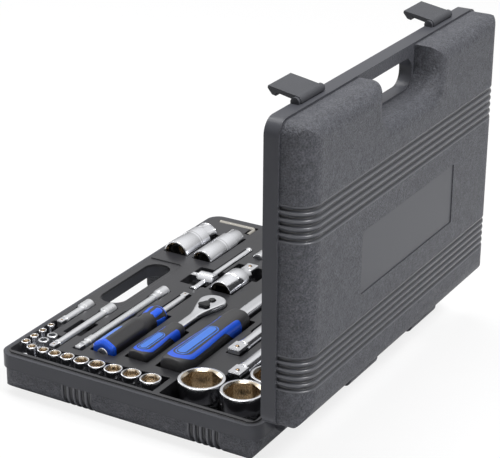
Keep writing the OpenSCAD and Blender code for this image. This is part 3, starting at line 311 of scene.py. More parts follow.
# Carried-over solids and their finishes
carried = {
    polypropyleneBase: ["base_shell"], polypropyleneLid: ["lid_shell"],
    trayPlastic: ["tool_tray", "lid_liner"], latchPlastic: ["latch_near", "latch_far"],
    drawnSteel: ["hinge_pins"],
    satinChrome: ["small_extension_50", "small_extension_100", "flex_ends", "spinner_shaft",
                  "small_ratchet_gear", "large_ratchet_gear", "joint_cross", "coupler_a", "coupler_b",
                  "bit_adapter"],
    chromePlate: ["large_extension_125", "large_extension_250", "joint_socket_end", "joint_drive_end",
                  "tbar_rod", "tbar_head", "spinner_insert"],
    woundCable: ["flex_cable"], paleNickel: ["hex_key"],
}
for material, names in carried.items():
    for name in names:
        mesh = nodes[name].data
        for index in range(max(1, len(mesh.materials))):
            if index < len(mesh.materials):
                mesh.materials[index] = material
            else:
                mesh.materials.append(material)
print("solids carried over:", sum(len(names) for names in carried.values()))


# ---- lofted pieces ----

# Points of one ring: a circle of that radius, or a polygon of that size across flats whose corners
# are cut back to a cap radius
def ring(shape, size, along, count=48, cap=None, flatAt=0.0):
    sides = {"circle": 0, "square": 4, "hexagon": 6, "octagon": 8}[shape]
    points = []
    for k in range(count):
        angle = 2 * math.pi * k / count
        radius = size
        if sides:
            half = math.pi / sides
            radius = size / 2 / math.cos((angle - flatAt + half) % (2 * half) - half)
            radius = min(radius, cap) if cap else radius
        points.append(Vector((radius * math.cos(angle), radius * math.sin(angle), along)))
    return points


# Skins a list of equal rings; loop joins the last to the first, weld closes ends that fall on a line,
# otherwise both ends are closed round their middle
def skinRings(name, rings, materials, spans=None, place=Matrix(), loop=False, weld=False, sharp=32, paint=None):
    count = len(rings[0])
    points = [place @ point for one in rings for point in one]
    faces, finish = [], []
    pairs = [(i, i + 1) for i in range(len(rings) - 1)] + ([(len(rings) - 1, 0)] if loop else [])
    for step, (a, b) in enumerate(pairs):
        for k in range(count):
            after = (k + 1) % count
            faces.append((a * count + k, a * count + after, b * count + after, b * count + k))
            finish.append(spans[step] if spans else 0)
            if paint:
                finish[-1] = paint(step, k, finish[-1])
    if not loop and not weld:
        for index, material in ((0, spans[0] if spans else 0), (len(rings) - 1, spans[-1] if spans else 0)):
            middle = sum((points[index * count + k] for k in range(count)), Vector()) / count
            points.append(middle)
            for k in range(count):
                faces.append((index * count + k, index * count + (k + 1) % count, len(points) - 1))
                finish.append(material)
    mesh = bpy.data.meshes.new(name)
    mesh.from_pydata([tuple(p) for p in points], [], faces)
    for material in materials:
        mesh.materials.append(material)
    for polygon, index in zip(mesh.polygons, finish):
        polygon.material_index = index
    work = bmesh.new()
    work.from_mesh(mesh)
    if weld:
        bmesh.ops.remove_doubles(work, verts=work.verts, dist=0.002 * mm)
        bmesh.ops.dissolve_degenerate(work, edges=work.edges, dist=0.002 * mm)
    bmesh.ops.recalc_face_normals(work, faces=work.faces)
    work.to_mesh(mesh)
    work.free()
    mesh.shade_smooth()
    mesh.set_sharp_from_angle(angle=math.radians(sharp))
    piece = bpy.data.objects.new(name, mesh)
    scene.collection.objects.link(piece)
    return piece


def rideWith(piece, node, replace=True):
    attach(piece, bodyNames[nodes[node].parent.name])
    if replace:
        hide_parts(node)


# ---- sockets ----

socketShape = {"count": 48, "lip": 0.35 * mm, "mouthChamfer": 1.2 * mm, "squareRoom": 0.15 * mm,
               "cornerCap": 0.985}
smallSockets = {"sizes": {"4": 4, "4_5": 4.5, "5": 5, "5_5": 5.5, "6": 6, "7": 7, "8": 8, "9": 9, "10": 10,
                          "11": 11, "12": 12, "13": 13, "14": 14},
                "drive": 12.0, "square": 6.35}
largeSockets = {"sizes": {"32": 32, "30": 30, "27": 27, "24": 24, "22": 22, "19": 19, "17": 17, "14": 14,
                          "12": 12, "10": 10},
                "square": 12.7}
toX = Matrix.Rotation(math.radians(90), 4, "Y")


# Rings of a standing socket, drive end at 0, in metres
def socketRings(across, outer, driveRadius, square, length, deep, waist):
    n = socketShape["count"]
    lip = socketShape["lip"]
    corner = across / 2 / math.cos(math.pi / 6)
    neck = length * 0.5
    rise = neck + abs(outer - driveRadius) * 0.9 + 0.6 * mm
    if not waist and outer > driveRadius:   # the hexagon end of a small socket is a short flange
        neck, rise, deep = length - 9.4 * mm, length - 6.4 * mm, 5.9 * mm
    hole = min(square * 0.44, across * 0.4)
    squareSide = square + socketShape["squareRoom"]
    mouth = corner + 0.35 * mm
    rings = [ring("square", squareSide + 1.0 * mm, 0, n), ring("circle", driveRadius - 0.7 * mm, 0, n),
             ring("circle", driveRadius - 0.25 * mm, 0.2 * mm, n), ring("circle", driveRadius, 0.7 * mm, n)]
    spans = [0, 0, 0, 0]
    if waist:   # shallow groove under the shoulder
        for z, r in ((neck - 1.8 * mm, 0), (neck - 1.4 * mm, 0.35 * mm), (neck - 0.6 * mm, 0.5 * mm),
                     (neck, 0.5 * mm)):
            rings.append(ring("circle", driveRadius - r, z, n))
            spans.append(0)
    else:
        rings.append(ring("circle", driveRadius, neck, n))
        spans.append(0)
    for step in range(1, 6):   # shoulder with a rounded start and end
        t = step / 5
        ease = t * t * (3 - 2 * t)
        start = driveRadius - (0.5 * mm if waist else 0)
        rings.append(ring("circle", start + (outer - start) * ease, neck + (rise - neck) * t, n))
        spans.append(0)
    rings += [ring("circle", outer, length - lip * 1.6, n), ring("circle", outer - lip * 0.3, length - lip * 0.5, n),
              ring("circle", outer - lip, length - lip * 0.08, n), ring("circle", mouth + lip * 0.6, length, n),
              ring("circle", mouth, length - lip * 0.4, n)]
    spans += [0, 0, 0, 0, 1]
    cap = corner * socketShape["cornerCap"]
    flat = math.radians(30)
    rings += [ring("hexagon", across, length - socketShape["mouthChamfer"] - 0.5 * mm, n, cap, flat),
              ring("hexagon", across, length - deep, n, cap, flat),
              ring("circle", hole, length - deep - 0.6 * mm, n), ring("circle", hole, square * 1.45, n),
              ring("square", squareSide, square * 1.4, n), ring("square", squareSide, 0.5 * mm, n)]
    spans += [1, 1, 1, 1, 1, 0]
    return rings, spans


def standingSocket(node, across, outer, driveRadius, square, deep, waist):
    low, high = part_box(node)
    place = Matrix.Translation(((low.x + high.x) / 2, (low.y + high.y) / 2, low.z))
    rings, spans = socketRings(across, outer, driveRadius, square, high.z - low.z, deep, waist)
    piece = skinRings(node.replace("socket", "hexSocket"), rings, [chromePlate, boreNickel], spans, place,
                      loop=True)
    rideWith(piece, node)


for name, size in smallSockets["sizes"].items():
    outer = (1.32 * size + 1.5) / 2
    standingSocket("small_socket_" + name, size * mm, outer * mm, smallSockets["drive"] / 2 * mm,
                   smallSockets["square"] * mm, (9 if size < 8 else 11) * mm, False)
for name, size in largeSockets["sizes"].items():
    outer = (1.31 * size + 1.3) / 2
    drive = 11 if size < 24 else outer * 0.7
    length = 43 if size > 28 else 40 if size > 20 else 38
    standingSocket("large_socket_" + name, size * mm, outer * mm, drive * mm, largeSockets["square"] * mm,
                   length * 0.42 * mm, True)
print("standing sockets made: 23")


# Spark plug sockets lie down with the mouth towards +X; a rubber sleeve holds the plug
sparkSockets = {"spark_socket_21": {"across": 21.0, "radius": 14.0, "hexEnd": True},
                "spark_socket_16": {"across": 16.0, "radius": 11.5, "hexEnd": False}}


def sparkSocket(node, spec):
    low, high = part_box(node)
    n, length = 48, high.x - low.x
    radius, across = spec["radius"] * mm, spec["across"] * mm
    middle = length * 0.5
    corner = across / 2 / math.cos(math.pi / 6)
    place = Matrix.Translation((low.x, (low.y + high.y) / 2, (low.z + high.z) / 2)) @ toX
    side = (12.7 + 0.15) * mm
    rings = [ring("square", side + 1.2 * mm, 0, n), ring("circle", radius - 2.4 * mm, 0, n),
             ring("circle", radius - 1.5 * mm, 0.5 * mm, n)]
    if spec["hexEnd"]:   # hexagon for a spanner, with its corners turned down
        flats = (radius - 1.2 * mm) * 2 * math.cos(math.pi / 6)
        rings += [ring("hexagon", flats, 1.2 * mm, n, radius - 1.5 * mm, math.radians(30)),
                  ring("hexagon", flats, 13.5 * mm, n, radius - 1.2 * mm, math.radians(30)),
                  ring("circle", radius - 1.2 * mm, 15.0 * mm, n)]
    else:
        rings += [ring("circle", radius - 1.2 * mm, 1.0 * mm, n), ring("circle", radius - 1.2 * mm, 14.5 * mm, n)]
    rings.append(ring("circle", radius, 16.2 * mm, n))
    for sign in (-1, 1):   # the two grooves at mid length, each with rounded shoulders
        centre = middle + sign * 1.8 * mm
        for offset, depth in ((-1.5, 0), (-1.0, 0.14), (-0.4, 0.22), (0.4, 0.22), (1.0, 0.14), (1.5, 0)):
            rings.append(ring("circle", radius - depth * mm, centre + offset * mm, n))
    rings += [ring("circle", radius, length - 0.9 * mm, n), ring("circle", radius - 0.25 * mm, length - 0.3 * mm, n),
              ring("circle", radius - 0.8 * mm, length, n), ring("circle", corner + 0.6 * mm, length, n),
              ring("circle", corner + 0.3 * mm, length - 0.4 * mm, n)]
    spans = [0] * len(rings)
    inner = [ring("hexagon", across - 0.1 * mm, length - 2 * mm, n, corner * 0.98, math.radians(30)),
             ring("hexagon", across - 0.1 * mm, length - 20 * mm, n, corner * 0.98, math.radians(30)),
             ring("circle", across / 2 - 0.6 * mm, length - 20.5 * mm, n),
             ring("circle", across / 2 - 0.6 * mm, 18.5 * mm, n), ring("circle", 5 * mm, 18 * mm, n),
             ring("circle", 5 * mm, 16.5 * mm, n), ring("square", side, 16 * mm, n), ring("square", side, 0.6 * mm, n)]
    rings += inner
    spans[-1] = 1
    spans += [1] * len(inner)
    piece = skinRings(node + "_steel", rings, [chromePlate, boreNickel], spans, place, loop=True)
    rideWith(piece, node)
    # rubber sleeve with three gripping rings
    outside = across / 2 - 0.75 * mm
    sleeve = [ring("circle", outside, length - 19 * mm, n), ring("circle", outside, length - 5.2 * mm, n),
              ring("circle", outside - 0.4 * mm, length - 4.8 * mm, n),
              ring("circle", outside - 1.6 * mm, length - 4.8 * mm, n)]
    for k in range(4):
        start = length - (5.4 + 3.2 * k) * mm
        for offset, depth in ((0, 1.8), (0.5, 2.6), (1.1, 2.9), (1.7, 2.6), (2.2, 1.8)):
            sleeve.append(ring("circle", outside - depth * mm, start - offset * mm, n))
    rubber = skinRings(node + "_sleeve", sleeve, [nitrileRubber], None, place, loop=True)
    rideWith(rubber, node, replace=False)


for node, spec in sparkSockets.items():
    sparkSocket(node, spec)
print("spark plug sockets made: 2")


# ---- ratchets ----

# Chrome head of pear shape with soft edges, and a rounded neck into the grip
ratchets = {"small_ratchet": {"head": 14.0, "count": 128}, "large_ratchet": {"head": 19.0, "count": 128}}


# Half width of head and neck at x from the head's centre, in head radii
def pearHalfWidth(x):
    if x < 0.4:
        return math.sqrt(max(0.0, 1 - x * x))
    t = min(1.0, (x - 0.4) / 2.2)
    return 0.9165 + (0.35 - 0.9165) * (t * t * (3 - 2 * t) * 0.6 + (1 - (1 - t) ** 2) * 0.4)


# Outline of head and neck, the neck reaching as far as the grip
def pearOutline(head, count, reach):
    points = []
    half = count // 2
    for k in range(half + 1):
        t = k / half
        if t < 0.5:   # round part, from the front to where the neck leaves
            angle = math.pi - (t / 0.5) * (math.pi - math.acos(0.4))
            points.append((math.cos(angle), math.sin(angle)))
        else:
            x = 0.4 + (t - 0.5) / 0.5 * (reach - 0.4)
            points.append((x, pearHalfWidth(x)))
    points[0] = (-1.0, 0.0)
    mirrored = [(x, -y) for x, y in points[1:-1]][::-1]
    closing = [points[-1], (reach + 0.06, 0.0), (reach, -points[-1][1])]   # end inside the grip
    outline = points[:-1] + closing + mirrored
    return [Vector((x * head, y * head)) for x, y in outline]


# Moves a closed outline inwards; the loop may run either way round
def insetOutline(outline, amount):
    n = len(outline)
    area = sum(outline[i - 1].x * outline[i].y - outline[i].x * outline[i - 1].y for i in range(n))
    inwards = -1 if area > 0 else 1
    result = []
    for i in range(n):
        a, b = outline[i] - outline[i - 1], outline[(i + 1) % n] - outline[i]
        normal = Vector((a.y, -a.x)).normalized() + Vector((b.y, -b.x)).normalized()
        normal.normalize()
        result.append(outline[i] + normal * amount * inwards)
    return result


def ratchetHead(name, spec):
    low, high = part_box(name + "_body")
    head = spec["head"] * mm
    centre = Vector((low.x + head, (low.y + high.y) / 2, 0))
    gripLow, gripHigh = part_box(name + "_grip")
    outline = pearOutline(head, spec["count"], (gripLow.x + 3 * mm - centre.x) / head)
    soft = head * 0.17
    levels = []
    for k in range(7):
        angle = math.pi / 2 * k / 6
        levels.append((soft * (1 - math.sin(angle)), soft * (1 - math.cos(angle)), 1.0))
    levels.reverse()   # from the flat face out to the full outline
    closed = [(0.0, soft, share) for share in (0.0, 0.35, 0.7)]
    rings = [(low.z + rise, inset, share) for rise, inset, share in closed + levels]
    rings += [(high.z - rise, inset, share) for rise, inset, share in (closed + levels)[::-1]]
    # both faces draw in towards the neck, which follows the middle of the grip
    middle, axis = (low.z + high.z) / 2, (gripLow.z + gripHigh.z) / 2
    loops = []
    for z, inset, share in rings:
        one = []
        for p in insetOutline(outline, inset):
            t = min(1.0, max(0.0, (p.x / head - 0.9) / 1.7))
            ease = t * t * (3 - 2 * t)
            level = (z - middle) * (1 - 0.17 * ease) + middle * (1 - ease) + axis * ease
            one.append(Vector((p.x + centre.x, p.y * share + centre.y, level)))
        loops.append(one)
    return loops, centre, low, high


def superRing(x, centreY, centreZ, halfWidth, halfHeight, power, count=48):
    points = []
    for k in range(count):
        angle = 2 * math.pi * k / count
        c, s = math.cos(angle), math.sin(angle)
        scale = (abs(c) ** power + abs(s) ** power) ** (-1 / power)
        points.append(Vector((x, centreY + halfWidth * c * scale, centreZ + halfHeight * s * scale)))
    return points


for name, spec in ratchets.items():
    loops, centre, low, high = ratchetHead(name, spec)
    head = spec["head"] * mm
    body = skinRings(name + "_head", loops, [chromePlate], weld=True, sharp=40)
    rideWith(body, name + "_body")
    # push button: a dished collar, then an eight-sided boss with a small flat top
    bLow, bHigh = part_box(name + "_button")
    r = head * 0.31
    height = max(bHigh.z, high.z + head * 0.12) - bLow.z
    place = Matrix.Translation((centre.x, centre.y, bLow.z))
    top = high.z - bLow.z
    knob = [ring("circle", r, 0), ring("circle", r, top - 0.15 * mm), ring("circle", r * 0.97, top + 0.05 * mm),
            ring("circle", r * 0.82, top + 0.05 * mm), ring("octagon", r * 1.5, top + 0.1 * mm, cap=r * 0.8),
            ring("octagon", r * 1.46, height - 0.5 * mm, cap=r * 0.78),
            ring("octagon", r * 1.2, height - 0.1 * mm, cap=r * 0.66), ring("circle", r * 0.3, height)]
    rideWith(skinRings(name + "_knob", knob, [blackNylon], None, place), name + "_button")
    # reversing lever: three lobes, its nose towards the button
    lLow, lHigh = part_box(name + "_lever")
    pivot = centre.x + head * 0.93
    thick = head * 0.17
    crest = max(lHigh.z, high.z + head * 0.2)
    levers = []
    for z, scale in ((lLow.z, 0.45), (crest - thick, 0.45), (crest - thick * 0.99, 0.95),
                     (crest - thick * 0.4, 1.0), (crest - thick * 0.12, 0.93), (crest, 0.76)):
        one = []
        for k in range(48):
            angle = 2 * math.pi * k / 48
            reach = head * 0.41 * scale * (1 - 0.22 * math.cos(3 * angle) * min(1, scale * 1.1))
            one.append(Vector((pivot + reach * math.cos(angle), centre.y + reach * math.sin(angle), z)))
        levers.append(one)
    rideWith(skinRings(name + "_toggle", levers, [blackNylon]), name + "_lever")
print("ratchet heads made: 2")


# Grips: black elastomer over the handle with a deep blue band. The band wraps the tail, runs along
# both shoulders and turns down the flanks near the neck. Shares of the length from the tail, and of
# the local half width.
gripBand = {"tail": 0.045, "tailWidth": 0.055, "inner": 0.6, "outer": 0.86, "turn": (0.60, 0.76),
            "end": 0.845, "endRadius": 0.05, "low": -0.35, "start": 0.62}
gripMarks = ((0, 0.62), (0.015, 0.72), (0.06, 0.80), (0.14, 0.82), (0.3, 0.79), (0.45, 0.84), (0.6, 0.93),
             (0.75, 0.99), (0.85, 1.0), (0.91, 0.975), (0.95, 0.92), (0.975, 0.83), (0.99, 0.69), (1.0, 0.42))
gripPower = 2.7


def gripProfile(t):
    for (a, u), (b, v) in zip(gripMarks, gripMarks[1:]):
        if t <= b:
            return u + (v - u) * (t - a) / (b - a)
    return gripMarks[-1][1]


def gripMaterial(name, low, high, radius):
    material, tree, surface, place = newMaterial(name, IOR=1.5, Coat_Weight=0.1, Coat_Roughness=0.4)
    length = high.x - low.x
    middle = (low + high) / 2
    spec = gripBand
    axes = addNode(tree, "ShaderNodeSeparateXYZ", {0: place})
    x, y, z = axes.outputs
    share = addNode(tree, "ShaderNodeMapRange", {"Value": x, "From Min": low.x, "From Max": high.x})
    ramp = addNode(tree, "ShaderNodeValToRGB", {"Fac": share})
    for index, (at, width) in enumerate(gripMarks):
        if index < 2:
            stop = ramp.color_ramp.elements[index]
            stop.position = at
        else:
            stop = ramp.color_ramp.elements.new(at)
        stop.color = (width, width, width, 1)
    half = mathNode(tree, "MULTIPLY", ramp, radius)
    across = mathNode(tree, "DIVIDE", mathNode(tree, "ABSOLUTE", mathNode(tree, "SUBTRACT", y, middle.y)), half)
    up = mathNode(tree, "DIVIDE", mathNode(tree, "SUBTRACT", z, middle.z), half)
    tail = mathNode(tree, "SUBTRACT", 1.0, share)
    # rounded loop round the tail, seen from above
    unit = radius / length

    def outside(start, reach):
        over = mathNode(tree, "MAXIMUM", mathNode(tree, "SUBTRACT", start + reach * unit, tail), 0.0)
        over = mathNode(tree, "DIVIDE", over, unit)
        squares = mathNode(tree, "MULTIPLY_ADD", over, over, mathNode(tree, "MULTIPLY", across, across))
        return mathNode(tree, "SUBTRACT", mathNode(tree, "SQRT", squares), reach)

    loop = mathNode(tree, "MULTIPLY", mathNode(tree, "LESS_THAN", outside(spec["tail"], spec["outer"]), 0.0),
                    mathNode(tree, "GREATER_THAN",
                             outside(spec["tail"] + spec["tailWidth"], spec["inner"]), 0.0))
    loop = mathNode(tree, "MULTIPLY", loop, mathNode(tree, "GREATER_THAN", up, 0.0))
    # lobe that turns down the flank; its end is rounded
    turned = addNode(tree, "ShaderNodeMapRange", {"Value": tail, "From Min": spec["turn"][0],
                                                 "From Max": spec["turn"][1], "To Min": spec["start"],
                                                 "To Max": spec["low"]}, interpolation_type="SMOOTHSTEP")
    lobe = mathNode(tree, "MULTIPLY", mathNode(tree, "GREATER_THAN", up, turned),
                    mathNode(tree, "GREATER_THAN", across, spec["inner"]))
    lobe = mathNode(tree, "MULTIPLY", lobe, mathNode(tree, "GREATER_THAN", tail, spec["turn"][0] - 0.1))
    blue = mathNode(tree, "MAXIMUM", loop, lobe)
    bend = mathNode(tree, "MAXIMUM", mathNode(tree, "SUBTRACT", tail, spec["end"] - spec["endRadius"]), 0.0)
    bend = mathNode(tree, "MULTIPLY", mathNode(tree, "MULTIPLY", bend, bend), 1 / spec["endRadius"] ** 2)
    raised = mathNode(tree, "MAXIMUM", mathNode(tree, "SUBTRACT", spec["inner"] + 0.2, across), 0.0)
    raised = mathNode(tree, "MULTIPLY", mathNode(tree, "MULTIPLY", raised, raised), 25.0)
    ends = mathNode(tree, "LESS_THAN", mathNode(tree, "ADD", bend, raised), 1.0)
    ends = mathNode(tree, "MAXIMUM", ends, mathNode(tree, "LESS_THAN", tail, spec["end"] - spec["endRadius"]))
    blue = mathNode(tree, "MULTIPLY", blue, ends)
    cloud = addNode(tree, "ShaderNodeTexNoise", {"Vector": place, "Scale": 60.0, "Detail": 4.0})
    black = addNode(tree, "ShaderNodeMix", {0: cloud, 6: linear("#252527"), 7: linear("#2e2d2f")}, data_type="RGBA")
    deep = addNode(tree, "ShaderNodeMix", {0: cloud, 6: linear("#175cec"), 7: linear("#1f65f2")}, data_type="RGBA")
    colour = addNode(tree, "ShaderNodeMix", {0: blue, 6: black.outputs[2], 7: deep.outputs[2]}, data_type="RGBA")
    fine = addNode(tree, "ShaderNodeTexNoise", {"Vector": place, "Scale": 1 / (0.7 * mm), "Detail": 2.0})
    # a shallow step where the two materials meet
    height = mathNode(tree, "MULTIPLY_ADD", fine, 0.1, mathNode(tree, "MULTIPLY", blue, 0.6))
    normal = addNode(tree, "ShaderNodeBump", {"Height": height, "Distance": 0.3 * mm, "Strength": 0.7})
    rough = addNode(tree, "ShaderNodeMapRange", {"Value": blue, "To Min": 0.52, "To Max": 0.3})
    plug(tree, surface, Base_Color=colour.outputs[2], Roughness=rough, Normal=normal)
    return material


# A closed plate that follows a surface: each step gives its inset, its share of that outline, its
# lift and its material
def plateOn(name, outline, steps, surface, materials, place=Matrix()):
    middle = sum(outline, Vector((0, 0))) / len(outline)
    rings = []
    for inset, share, lift, material in steps:
        inner = [middle + (point - middle) * share for point in insetOutline(outline, inset)]
        rings.append([surface(point.x, point.y, lift) for point in inner])
    return skinRings(name, rings, materials, [step[3] for step in steps], place, sharp=30)


def stadium(centre, halfLength, radius, count=64):
    points = []
    for k in range(count):
        angle = 2 * math.pi * (k + 0.5) / count
        shift = math.copysign(halfLength - radius, math.cos(angle))
        points.append(Vector((centre + shift + radius * math.cos(angle), radius * math.sin(angle))))
    return points


handles = {}
darkInlay = plainPlastic("darkInlay", "#202124", "#292a2d", (0.4, 0.5), edge=0.2 * mm)
redPaint = plainPlastic("redPaint", "#b03238", "#bc3a40", (0.35, 0.45), edge=0.2 * mm)

for name, spec in ratchets.items():
    low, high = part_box(name + "_grip")
    length = high.x - low.x
    radius = (high.y - low.y) / 2
    tall = (high.z - low.z) / 2
    middle = (low + high) / 2
    finish = gripMaterial(name + "Grip", low, high, radius)
    rings = []
    steps = 72
    for k in range(steps + 1):
        t = 0.5 - 0.5 * math.cos(math.pi * k / steps)
        wide = radius * gripProfile(t)
        rings.append(superRing(low.x + length * t, middle.y, middle.z, wide, min(wide, tall), gripPower, 64))
    handle = skinRings(name + "_handle", rings, [finish], sharp=50)
    rideWith(handle, name + "_grip")
    handles[name] = handle

    # bare label field on top, light blue with a sunk dark line inside its edge
    def onTop(x, y, lift):
        wide = radius * gripProfile((x - low.x) / length)
        rise = min(wide, tall) * max(0.0, 1 - abs(y / wide) ** gripPower) ** (1 / gripPower)
        return Vector((x, middle.y + y, middle.z + rise + lift))

    edge = radius * 0.05
    outline = stadium(high.x - length * 0.37, length * 0.26, radius * 0.43)
    steps = [(0, 1, -1.0 * mm, 0), (0, 1, 0.1 * mm, 0), (edge * 0.4, 1, 0.3 * mm, 0),
             (edge * 1.6, 1, 0.34 * mm, 0), (edge * 1.7, 1, 0.12 * mm, 1), (edge * 2.9, 1, 0.12 * mm, 1),
             (edge * 3.0, 1, 0.34 * mm, 0), (edge * 3.2, 0.7, 0.36 * mm, 0), (edge * 3.2, 0.35, 0.38 * mm, 0),
             (edge * 3.2, 0.05, 0.38 * mm, 0)]
    label = plateOn(name + "_label", outline, steps, onTop, [lightBlueAbs, darkInlay])
    rideWith(label, name + "_grip", replace=False)
print("ratchet grips made: 2")

# paint dot on the tail of the large grip
low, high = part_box("large_ratchet_grip")
dot = [ring("circle", 1.5 * mm, -1.5 * mm, 24), ring("circle", 1.5 * mm, 0, 24),
       ring("circle", 1.1 * mm, 0.3 * mm, 24), ring("circle", 0.5 * mm, 0.42 * mm, 24)]
dotPlace = Matrix.Translation((high.x - 0.9 * mm, (low.y + high.y) / 2 + 1 * mm, (low.z + high.z) / 2 + 5.4 * mm)) @ toX
rideWith(skinRings("large_ratchet_dot", dot, [redPaint], None, dotPlace), "large_ratchet_grip",
         replace=False)


# ---- spinner handle: blue six-sided end, black barrel with two blue facets, waist, inlays ----
blackGrip = plainPlastic("blackElastomer", "#262628", "#2e2d2f", (0.42, 0.55), height=0.06 * mm)
spinner = {"end": 6.0, "flats": 23.8, "corner": 13.05, "strip": 38.5, "count": 72}
spinnerMarks = ((0, 8.0), (0.6, 8.8), (1.6, 9.5), (4, 10.4), (8, 10.9), (12, 10.7), (18, 9.9), (24, 9.3), (28, 9.5),
                (32, 10.4), (36, 11.6), (40, 12.5), (44, 13.0))


def spinnerRadius(along):
    for (a, u), (b, v) in zip(spinnerMarks, spinnerMarks[1:]):
        if along <= b:
            t = (along - a) / (b - a)
            return u + (v - u) * t
    return spinnerMarks[-1][1]


def spinnerHandle():
    low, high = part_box("spinner_grip")
    length = (high.x - low.x) / mm
    count = spinner["count"]
    place = Matrix.Translation((low.x, (low.y + high.y) / 2, (low.z + high.z) / 2)) @ toX
    flat = math.radians(30)
    end = length - spinner["end"]
    strip = length - spinner["strip"]
    rings, spans = [], []

    def add(along, r, material, across=None):
        if across:
            rings.append(ring("hexagon", across * mm, along * mm, count, r * mm, flat))
        else:
            rings.append(ring("circle", r * mm, along * mm, count))
        spans.append(material)

    # blue ring round the shaft, then the black bulge and waist
    for along, r, material in ((0, 7.2, 1), (0.3, 8.4, 1), (1.0, 9.4, 1), (2.2, 10.0, 1), (3.0, 10.2, 0)):
        add(along, r, material)
    for k in range(1, 13):
        along = 3.0 + (36 - 3.0) * k / 12
        add(along, spinnerRadius(along), 0)
    # barrel grows six-sided
    for along, share in ((38, 0.3), (40, 0.6), (42, 0.85), (44, 1.0), (strip, 1.0), (strip + 1.5, 1.0),
                         (strip + 3.5, 1.0), (end - 0.4, 1.0)):
        r = spinnerRadius(along)
        add(along, r, 0, 2 * r * (1 - share) + spinner["flats"] * share)
    add(end, spinner["corner"] - 0.3, 1, spinner["flats"] - 0.5)
    add(end + 0.4, spinner["corner"] + 0.1, 1, spinner["flats"] + 0.3)
    for along, r, across in ((length - 3.6, 13.1, 24.0), (length - 2.6, 12.9, 23.6), (length - 1.0, 11.4, 21.0),
                             (length - 0.3, 10.2, 19.0), (length, 9.0, 17.0)):
        add(along, r, 1, across)
    for along, r, material in ((length, 6.4, 1), (length - 0.6, 6.05, 1), (length - 13, 6.05, 1),
                               (length - 13, 0.4, 1)):
        add(along, r, material)

    # light blue over two opposite facets, its front end rounded off
    def facets(step, k, material):
        along = rings[step][0].z / mm
        if material or along < strip - 0.1 or along > end - 0.5:
            return material
        half = 3 if along < strip + 1 else 4 if along < strip + 3 else 5
        inside = any(middle - half <= k < middle + half for middle in (count * 7 // 12, count // 12))
        return 2 if inside else material

    piece = skinRings("spinner_handle", rings, [blackGrip, blueAbs, lightBlueAbs], spans, place, sharp=24,
                      paint=facets)
    rideWith(piece, "spinner_grip")
    return place


gripPlace = spinnerHandle()
print("spinner handle made")


# ---- inlays and dots that repeat: Geometry Nodes, turned into plain meshes ----

def newTree(name, floats=(), ints=()):
    tree = bpy.data.node_groups.new(name, "GeometryNodeTree")
    tree.interface.new_socket("Geometry", in_out="INPUT", socket_type="NodeSocketGeometry")
    tree.interface.new_socket("Geometry", in_out="OUTPUT", socket_type="NodeSocketGeometry")
    for item in floats:
        tree.interface.new_socket(item, in_out="INPUT", socket_type="NodeSocketFloat")
    for item in ints:
        tree.interface.new_socket(item, in_out="INPUT", socket_type="NodeSocketInt")
    return tree


def applyTree(name, tree, values, material, place=None):
    carrier = bpy.data.objects.new(name + "Carrier", bpy.data.meshes.new(name + "Carrier"))
    scene.collection.objects.link(carrier)
    modifier = carrier.modifiers.new("repeat", "NODES")
    modifier.node_group = tree
    for item in tree.interface.items_tree:
        if item.in_out == "INPUT" and item.name in values:
            modifier[item.identifier] = values[item.name]
    evaluated = carrier.evaluated_get(bpy.context.evaluated_depsgraph_get())
    mesh = bpy.data.meshes.new_from_object(evaluated)
    mesh.name = name
    bpy.data.objects.remove(carrier)
    if place is not None:
        mesh.transform(place)
    mesh.materials.clear()
    mesh.materials.append(material)
    mesh.set_sharp_from_angle(angle=math.radians(35))
    piece = bpy.data.objects.new(name, mesh)
    scene.collection.objects.link(piece)
    return piece


# Copies of one small mesh set round the Z axis
def roundTree(material):
    tree = newTree("copiesRoundAxis", (), ("Count",))
    tree.interface.new_socket("Shape", in_out="INPUT", socket_type="NodeSocketObject")
    source = tree.nodes.new("NodeGroupInput")
    shape = addNode(tree, "GeometryNodeObjectInfo", {"Object": source.outputs["Shape"]})
    line = addNode(tree, "GeometryNodeMeshLine", {"Count": source.outputs["Count"], "Offset": (0, 0, 0)})
    index = addNode(tree, "GeometryNodeInputIndex")
    share = addNode(tree, "ShaderNodeMath", {0: index, 1: source.outputs["Count"]}, operation="DIVIDE")
    angle = addNode(tree, "ShaderNodeMath", {0: share, 1: 2 * math.pi}, operation="MULTIPLY")
    turn = addNode(tree, "ShaderNodeCombineXYZ", {2: angle})
    placed = addNode(tree, "GeometryNodeInstanceOnPoints", {"Points": line,
                                                           "Instance": shape.outputs["Geometry"],
                                                           "Rotation": turn})
    real = addNode(tree, "GeometryNodeRealizeInstances", {0: placed})
    smooth = addNode(tree, "GeometryNodeSetShadeSmooth", {0: real})
    finish = addNode(tree, "GeometryNodeSetMaterial", {"Geometry": smooth, "Material": material})
    result = tree.nodes.new("NodeGroupOutput")
    tree.links.new(finish.outputs[0], result.inputs[0])
    return tree


# Blue inlays round the bulge of the spinner: square end towards the barrel, round end forward
def onBulge(along, across, lift):
    r = spinnerRadius(along / mm) * mm + lift
    angle = across / (spinnerRadius(along / mm) * mm) + math.radians(30)
    return Vector((r * math.cos(angle), r * math.sin(angle), along))


inlay = {"from": 5.0 * mm, "to": 19.5 * mm, "half": 3.6 * mm, "corner": 1.2 * mm, "copies": 6}


def inlayOutline(spec):
    points = []
    for k in range(17):   # round end
        angle = math.pi / 2 + math.pi * k / 16
        points.append(Vector((spec["from"] + spec["half"] * (1 + math.cos(angle)), spec["half"] * math.sin(angle))))
    for sign in (-1, 1):
        for k in range(5):   # small corner radius at the square end
            angle = math.pi / 2 * k / 4 if sign > 0 else -math.pi / 2 * (1 - k / 4)
            points.append(Vector((spec["to"] - spec["corner"] + spec["corner"] * math.cos(angle),
                                  sign * (spec["half"] - spec["corner"]) + spec["corner"] * math.sin(angle))))
    return points


